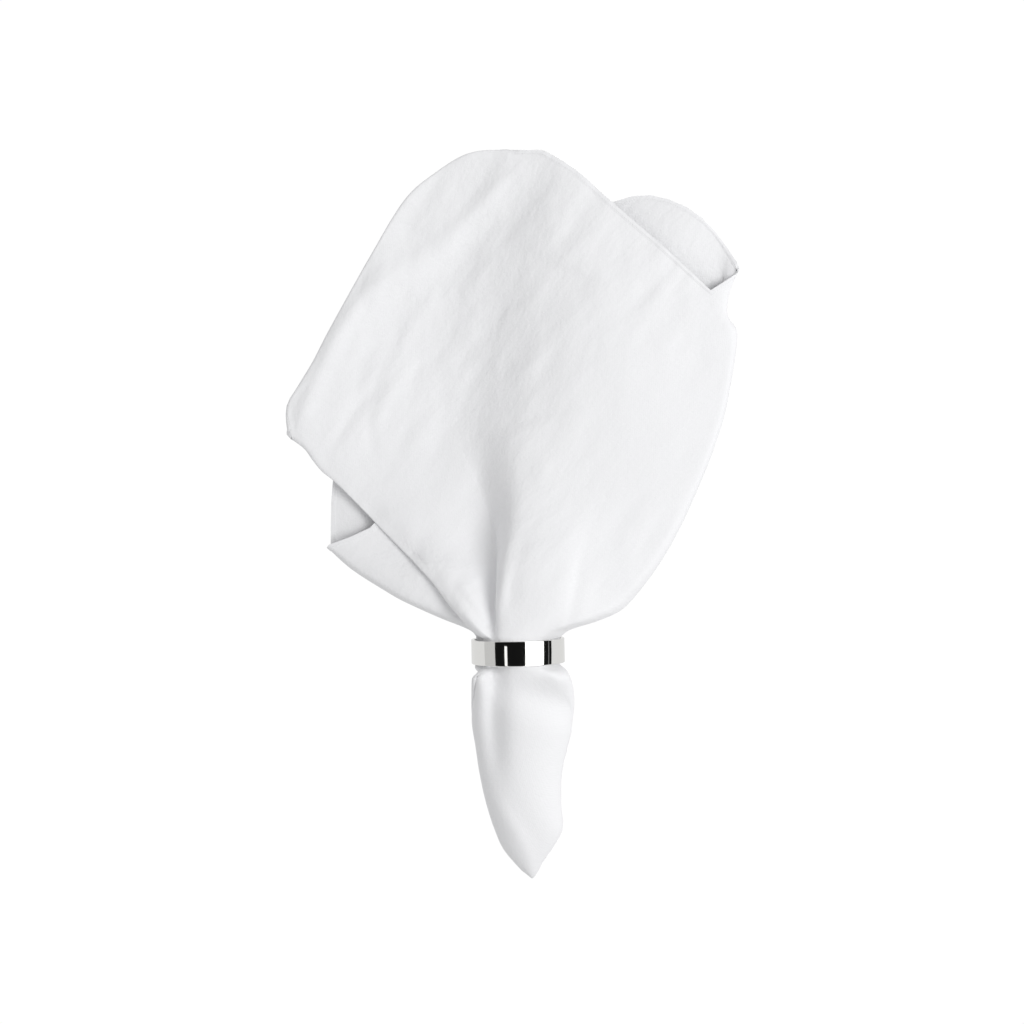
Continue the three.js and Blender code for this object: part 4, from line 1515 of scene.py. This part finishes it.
@dataclass(frozen=True)
class LinenFinish:
    """Washed white linen in plain weave, with uneven threads and soft crumples.

    Lengths are in metres and turns in radians, and a scale is the noise's steps in a metre along the cloth's
    two coordinates. Each rise is the height between the noise's least and greatest value.

    Attributes:
        colour: The colour of the raised threads, where the slubs stand high, painted lighter than the
            hollows.
        hollow_shade_colour: The colour where the slubs sit low, a painted shade in the hollows between the
            raised threads.
        specular: The level of the plain reflection.
        thread_pitch: From one thread to the next.
        slub_scale: The scale of the thick places of the threads, along and across a thread.
        stitch_place: Where the line of stitches runs, as a part of the hem's width.
        stitch_width: Half the width of that line.
        stitch_depth: How deep the line is where a stitch pulls it in most.
        stitch_even: The part of that depth that the line has on average.
        stitch_wave: The part of it by which the depth rises and falls at each stitch.
    """

    colour: tuple[float, float, float, float] = (0.86, 0.862, 0.875, 1.0)
    hollow_shade_colour: tuple[float, float, float, float] = (0.83, 0.832, 0.846, 1.0)
    roughness: float = 0.92
    specular: float = 0.25
    sheen: float = 0.15
    sheen_roughness: float = 0.5
    thread_pitch: float = 0.00056
    thread_rise: float = 0.00001
    slub_scale: tuple[float, float] = (90.0, 1500.0)
    slub_rise: float = 0.00004
    mottle_scale: tuple[float, float] = (520.0, 420.0)
    mottle_turn: float = 0.5
    mottle_rise: float = 0.00014
    crumple_scale: tuple[float, float] = (240.0, 135.0)
    crumple_turn: float = 0.14
    crumple_rise: float = 0.0005
    hem_width: float = 0.00235
    stitch_pitch: float = 0.0012
    stitch_place: float = 0.82
    stitch_width: float = 0.00035
    stitch_depth: float = 0.00012
    stitch_even: float = 0.65
    stitch_wave: float = 0.35

    def build(self) -> bpy.types.Material:
        """Makes the material.

        Returns:
            The linen.
        """
        material, nodes = new_material("linen")
        uv = nodes.add("ShaderNodeUVMap", uv_map="cloth").outputs["UV"]
        hem = nodes.add("ShaderNodeAttribute", attribute_name="hem").outputs["Vector"]
        crumpled = nodes.add("ShaderNodeSeparateXYZ", {"Vector": hem}).outputs["Z"]
        cloth = nodes.add("ShaderNodeGroup", node_tree=self._weave_group())
        nodes.join(uv, cloth.inputs["Cloth"])
        nodes.join(crumpled, cloth.inputs["Crumpled"])
        seam = nodes.add("ShaderNodeGroup", node_tree=self._seam_group())
        nodes.join(hem, seam.inputs["Hem"])
        height = nodes.maths("ADD", cloth.outputs["Height"], seam.outputs["Height"])
        bump = nodes.add("ShaderNodeBump", {"Strength": 1.0, "Distance": 1.0, "Height": height})
        # Painted shade: the colour goes from dusk in the low places of the slubs to colour on their tops.
        shade = nodes.add("ShaderNodeMix", {"Factor": cloth.outputs["Painted Shade"]}, data_type="RGBA")
        first, second = (socket for socket in shade.inputs if socket.type == "RGBA")
        nodes.join(self.hollow_shade_colour, first)
        nodes.join(self.colour, second)
        blend = next(socket for socket in shade.outputs if socket.type == "RGBA")
        shader = nodes.add("ShaderNodeBsdfPrincipled", {
            "Base Color": blend,
            "Roughness": self.roughness,
            "Specular IOR Level": self.specular,
            "Sheen Weight": self.sheen,
            "Sheen Roughness": self.sheen_roughness,
            "Normal": bump.outputs["Normal"],
        })
        nodes.add("ShaderNodeOutputMaterial", {"Surface": shader.outputs["BSDF"]})
        return material

    def _weave_group(self) -> bpy.types.NodeTree:
        """Makes the weave with its slubs, its mottle and the crumples.

        The threads are sin(u) * sin(v), and the rest is noise. The painted shade is half the two slub
        noises' sum, so the colour is darker where the slubs sit low.

        Returns:
            The group, which gives a height in metres and a painted shade from 0 to 1, low in the slubs'
            hollows.
        """
        group, nodes, into, out = new_group(
            "plain weave", {"Cloth": "NodeSocketVector", "Crumpled": "NodeSocketFloat"},
            {"Height": "NodeSocketFloat", "Painted Shade": "NodeSocketFloat"},
        )
        place = into.outputs["Cloth"]
        split = nodes.add("ShaderNodeSeparateXYZ", {"Vector": place})
        turn = np.pi / self.thread_pitch
        warp = nodes.maths("SINE", nodes.maths("MULTIPLY", split.outputs["X"], turn))
        weft = nodes.maths("SINE", nodes.maths("MULTIPLY", split.outputs["Y"], turn))
        threads = nodes.maths("MULTIPLY", nodes.maths("MULTIPLY", warp, weft), self.thread_rise)
        along, across = self.slub_scale
        slub = nodes.maths("ADD", *(
            nodes.noise(place, scale, 2.0, 0.6) for scale in ((along, across, 1.0), (across, along, 1.0))))
        crumple = nodes.noise(place, (*self.crumple_scale, 1.0), 3.0, 0.55, self.crumple_turn)
        mottle = nodes.noise(place, (*self.mottle_scale, 1.0), 3.0, 0.55, self.mottle_turn)
        crumple = nodes.maths("MULTIPLY", nodes.maths("MULTIPLY", crumple, self.crumple_rise),
                              into.outputs["Crumpled"])
        height = nodes.maths("ADD", threads, nodes.maths("MULTIPLY", slub, self.slub_rise))
        height = nodes.maths("ADD", height, nodes.maths("MULTIPLY", mottle, self.mottle_rise))
        nodes.join(nodes.maths("ADD", height, crumple), out.inputs["Height"])
        # Painted shade: the slub noise that raises the cloth also lightens its colour, so its hollows are
        # painted darker.
        nodes.join(nodes.maths("MULTIPLY", slub, 0.5, clamp=True), out.inputs["Painted Shade"])
        return group

    def _seam_group(self) -> bpy.types.NodeTree:
        """Makes the line of stitches along the hem, as dents.

        Its depth is depth * (1 - off / width) * (even + wave * sin(along)).

        Returns:
            The group, which gives a height in metres.
        """
        group, nodes, into, out = new_group(
            "hem seam", {"Hem": "NodeSocketVector"}, {"Height": "NodeSocketFloat"})
        split = nodes.add("ShaderNodeSeparateXYZ", {"Vector": into.outputs["Hem"]})
        off = nodes.maths("ABSOLUTE", nodes.maths(
            "SUBTRACT", split.outputs["Y"], self.hem_width * self.stitch_place))
        line = nodes.maths("SUBTRACT", 1.0, nodes.maths("DIVIDE", off, self.stitch_width), clamp=True)
        turn = nodes.maths("MULTIPLY", split.outputs["X"], 2 * np.pi / self.stitch_pitch)
        wave = nodes.maths("MULTIPLY", nodes.maths("SINE", turn), self.stitch_wave)
        stitch = nodes.maths("ADD", wave, self.stitch_even)
        height = nodes.maths("MULTIPLY", nodes.maths("MULTIPLY", line, stitch), -self.stitch_depth)
        nodes.join(height, out.inputs["Height"])
        return group


@dataclass(frozen=True)
class PolishedFinish:
    """Mirror-polished metal with faint wipe marks.

    Attributes:
        colour: The colour of its reflections.
        roughness: The roughness of the clean metal.
        marked: How many times as rough it is in the marks.
        mark_scale: The steps of the marks' noise in a metre, along each axis.
        mark_range: Between which values of the noise a mark begins and is full.
    """

    colour: tuple[float, float, float, float] = (0.85, 0.845, 0.825, 1.0)
    roughness: float = 0.035
    marked: float = 2.2
    mark_scale: tuple[float, float, float] = (400.0, 60.0, 400.0)
    mark_range: tuple[float, float] = (0.35, 0.75)

    def build(self) -> bpy.types.Material:
        """Makes the material.

        Returns:
            The polished metal.
        """
        material, nodes = new_material("polished metal")
        place = nodes.add("ShaderNodeTexCoord").outputs["Object"]
        begins, full = self.mark_range
        marks = nodes.add("ShaderNodeMapRange", {
            "Value": nodes.noise(place, self.mark_scale, 2.0), "From Min": begins, "From Max": full,
            "To Min": self.roughness, "To Max": self.roughness * self.marked})
        shader = nodes.add("ShaderNodeBsdfPrincipled", {
            "Base Color": self.colour, "Metallic": 1.0, "Roughness": marks.outputs["Result"]})
        nodes.add("ShaderNodeOutputMaterial", {"Surface": shader.outputs["BSDF"]})
        return material


class CardRow(NamedTuple):
    """One reflection card over the ring.

    Attributes:
        low: The angle off the vertical that it starts at, in degrees rightwards.
        high: The angle that it ends at.
        start: Where it starts along the ring's axis, in metres.
        end: Where it ends.
        light: Its brightness.
    """

    low: float
    high: float
    start: float
    end: float
    light: float


@dataclass
class Studio:
    """The white surface, the lights, the cards that the ring mirrors and the camera, in metres.

    Attributes:
        floor_half: Half the side of the white surface.
        floor_drop: How far it lies under the part.
        floor_seen: Its brightness for the camera.
        floor_light: The same for everything else.
        world_light: The brightness of the world.
        key_place: The key light's place from the ring's middle on the table.
        key_target: What it points at, from there too.
        key_size: Its diameter.
        key_power: Its power in watts.
        camera_height: The camera's height over the table.
        camera_offset: Its place in plan from the ring's middle.
        lens: Its focal length in millimetres.
        sensor: The width of its sensor in millimetres.
        clip_start: The nearest that it sees.
        card_radius: How far the cards are from the ring's axis.
        card_height: The height of that axis.
        card_steps: The straight stretches in a card's arc.
    """

    floor_half: float = 4.0
    floor_drop: float = 0.0003
    floor_seen: float = 1.02
    floor_light: float = 0.8
    world_light: float = 0.62
    key_place: tuple[float, float, float] = (0.84, 0.15, 1.07)
    key_target: tuple[float, float, float] = (0.0, 0.08, 0.0)
    key_size: float = 0.8
    key_power: float = 9.2
    camera_height: float = 0.821
    camera_offset: tuple[float, float] = (-0.0027, 0.0623)
    lens: float = 62.5
    sensor: float = 36.0
    clip_start: float = 0.01
    card_radius: float = 1.0
    card_height: float = 0.021
    card_steps: int = 11

    CARDS = (
        CardRow(-90, -58, -2, 2, 0.62),
        CardRow(-58, -33, -2, 2, 0.008),
        CardRow(-33, -26.4, 0.045, 2, 0.008),
        CardRow(-33, -26.4, -2, 0.045, 1.15),
        CardRow(-26.4, 18, -2, 2, 0.008),
        CardRow(18, 65.5, -2, 2, 2.2),
        CardRow(65.5, 79.6, -2, 2, 0.008),
        CardRow(79.6, 81.8, -2, 2, 0.22),
        CardRow(81.8, 90, -2, 2, 0.008),
    )

    def build(self, origin: np.ndarray) -> None:
        """Makes the whole studio.

        Args:
            origin: The ring's middle on the table, in metres in the shared frame.
        """
        self._floor()
        self._cards(origin)
        self._world()
        self._key(origin)
        self._camera(origin)

    def _glow(self, name: str, strength: float, others: float | None = None) -> bpy.types.Material:
        """Makes a plain glowing finish.

        Args:
            name: Its name.
            strength: Its brightness.
            others: Its brightness for all but camera rays, where that is another one.

        Returns:
            The material.
        """
        material, nodes = new_material(name)
        level = strength
        if others is not None:
            path = nodes.add("ShaderNodeLightPath").outputs["Is Camera Ray"]
            level = nodes.add("ShaderNodeMapRange", {
                "Value": path, "To Min": others, "To Max": strength}).outputs["Result"]
        glow = nodes.add("ShaderNodeEmission", {"Color": (1, 1, 1, 1), "Strength": level})
        nodes.add("ShaderNodeOutputMaterial", {"Surface": glow.outputs["Emission"]})
        return material

    def _floor(self) -> None:
        """Makes the white surface, a square a little under the part."""
        half, low = self.floor_half / MM, -self.floor_drop / MM
        corners = np.array([[x * half, y * half, low] for x, y in ((-1, -1), (1, -1), (1, 1), (-1, 1))])
        mesh = make_mesh("floor", corners, np.array([[0, 1, 2, 3]]), np.zeros(3))
        mesh.materials.append(self._glow("white surface", self.floor_seen, self.floor_light))
        add_object("floor", mesh)

    def _cards(self, origin: np.ndarray) -> None:
        """Makes the cards, each a strip of a cylinder round the ring's axis that only reflections show.

        Args:
            origin: The ring's middle on the table.
        """
        i, count = np.arange(self.card_steps), self.card_steps + 1
        faces = np.stack([i, i + 1, i + 1 + count, i + count], -1)
        for number, card in enumerate(self.CARDS):
            angle = np.radians(np.linspace(card.low, card.high, count))
            x, z = self.card_radius * np.sin(angle), self.card_radius * np.cos(angle)
            points = np.concatenate([
                np.stack([x, np.full_like(x, y), z], -1) for y in (card.start, card.end)])
            mesh = make_mesh(f"card {number}", points / MM, faces, origin + [0, 0, self.card_height])
            mesh.materials.append(self._glow(f"card {number}", card.light))
            piece = add_object(f"card_{number}", mesh)
            piece.visible_camera = False
            piece.visible_diffuse = False
            piece.visible_shadow = False
            piece.visible_transmission = False

    def _world(self) -> None:
        """Makes the even light from all sides."""
        world = bpy.data.worlds.new("studio")
        bpy.context.scene.world = world
        world.use_nodes = True
        background = world.node_tree.nodes["Background"]
        background.inputs["Color"].default_value = (1, 1, 1, 1)
        background.inputs["Strength"].default_value = self.world_light

    def _key(self, origin: np.ndarray) -> None:
        """Makes the key light, a round one from the right that the ring doesn't mirror.

        Args:
            origin: The ring's middle on the table.
        """
        light = bpy.data.lights.new("key", "AREA")
        light.shape = "DISK"
        light.size = self.key_size
        light.energy = self.key_power
        lamp = add_object("key", light)
        place, target = origin + self.key_place, origin + self.key_target
        lamp.location = place
        lamp.rotation_euler = Vector(target - place).to_track_quat("-Z", "Y").to_euler()
        lamp.visible_glossy = False

    def _camera(self, origin: np.ndarray) -> None:
        """Makes the camera, straight above and looking down.

        Args:
            origin: The ring's middle on the table.
        """
        camera = bpy.data.cameras.new("camera")
        camera.lens = self.lens
        camera.sensor_width = self.sensor
        camera.clip_start = self.clip_start
        piece = add_object("camera", camera)
        x, y = origin[:2] + self.camera_offset
        piece.location = (x, y, self.camera_height)
        bpy.context.scene.camera = piece


def main() -> None:
    """Builds the napkin, the ring and the studio in order."""
    logging.basicConfig(level=logging.INFO, format="%(name)s: %(message)s")
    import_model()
    low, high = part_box("ring")
    origin = np.array([(low.x + high.x) / 2, (low.y + high.y) / 2, 0.0])

    napkin = Napkin()
    cloth = napkin.build(origin)
    napkin.dress(cloth, LinenFinish().build())
    LOG.info("napkin: %d faces", len(cloth.data.polygons))

    ring = PolishedRing()
    band = ring.build(origin)
    ring.dress(band, PolishedFinish().build())
    LOG.info("ring: %d faces", len(band.data.polygons))

    Studio().build(origin)
    bpy.context.scene.view_settings.view_transform = "Standard"


if __name__ == "__main__":
    main()
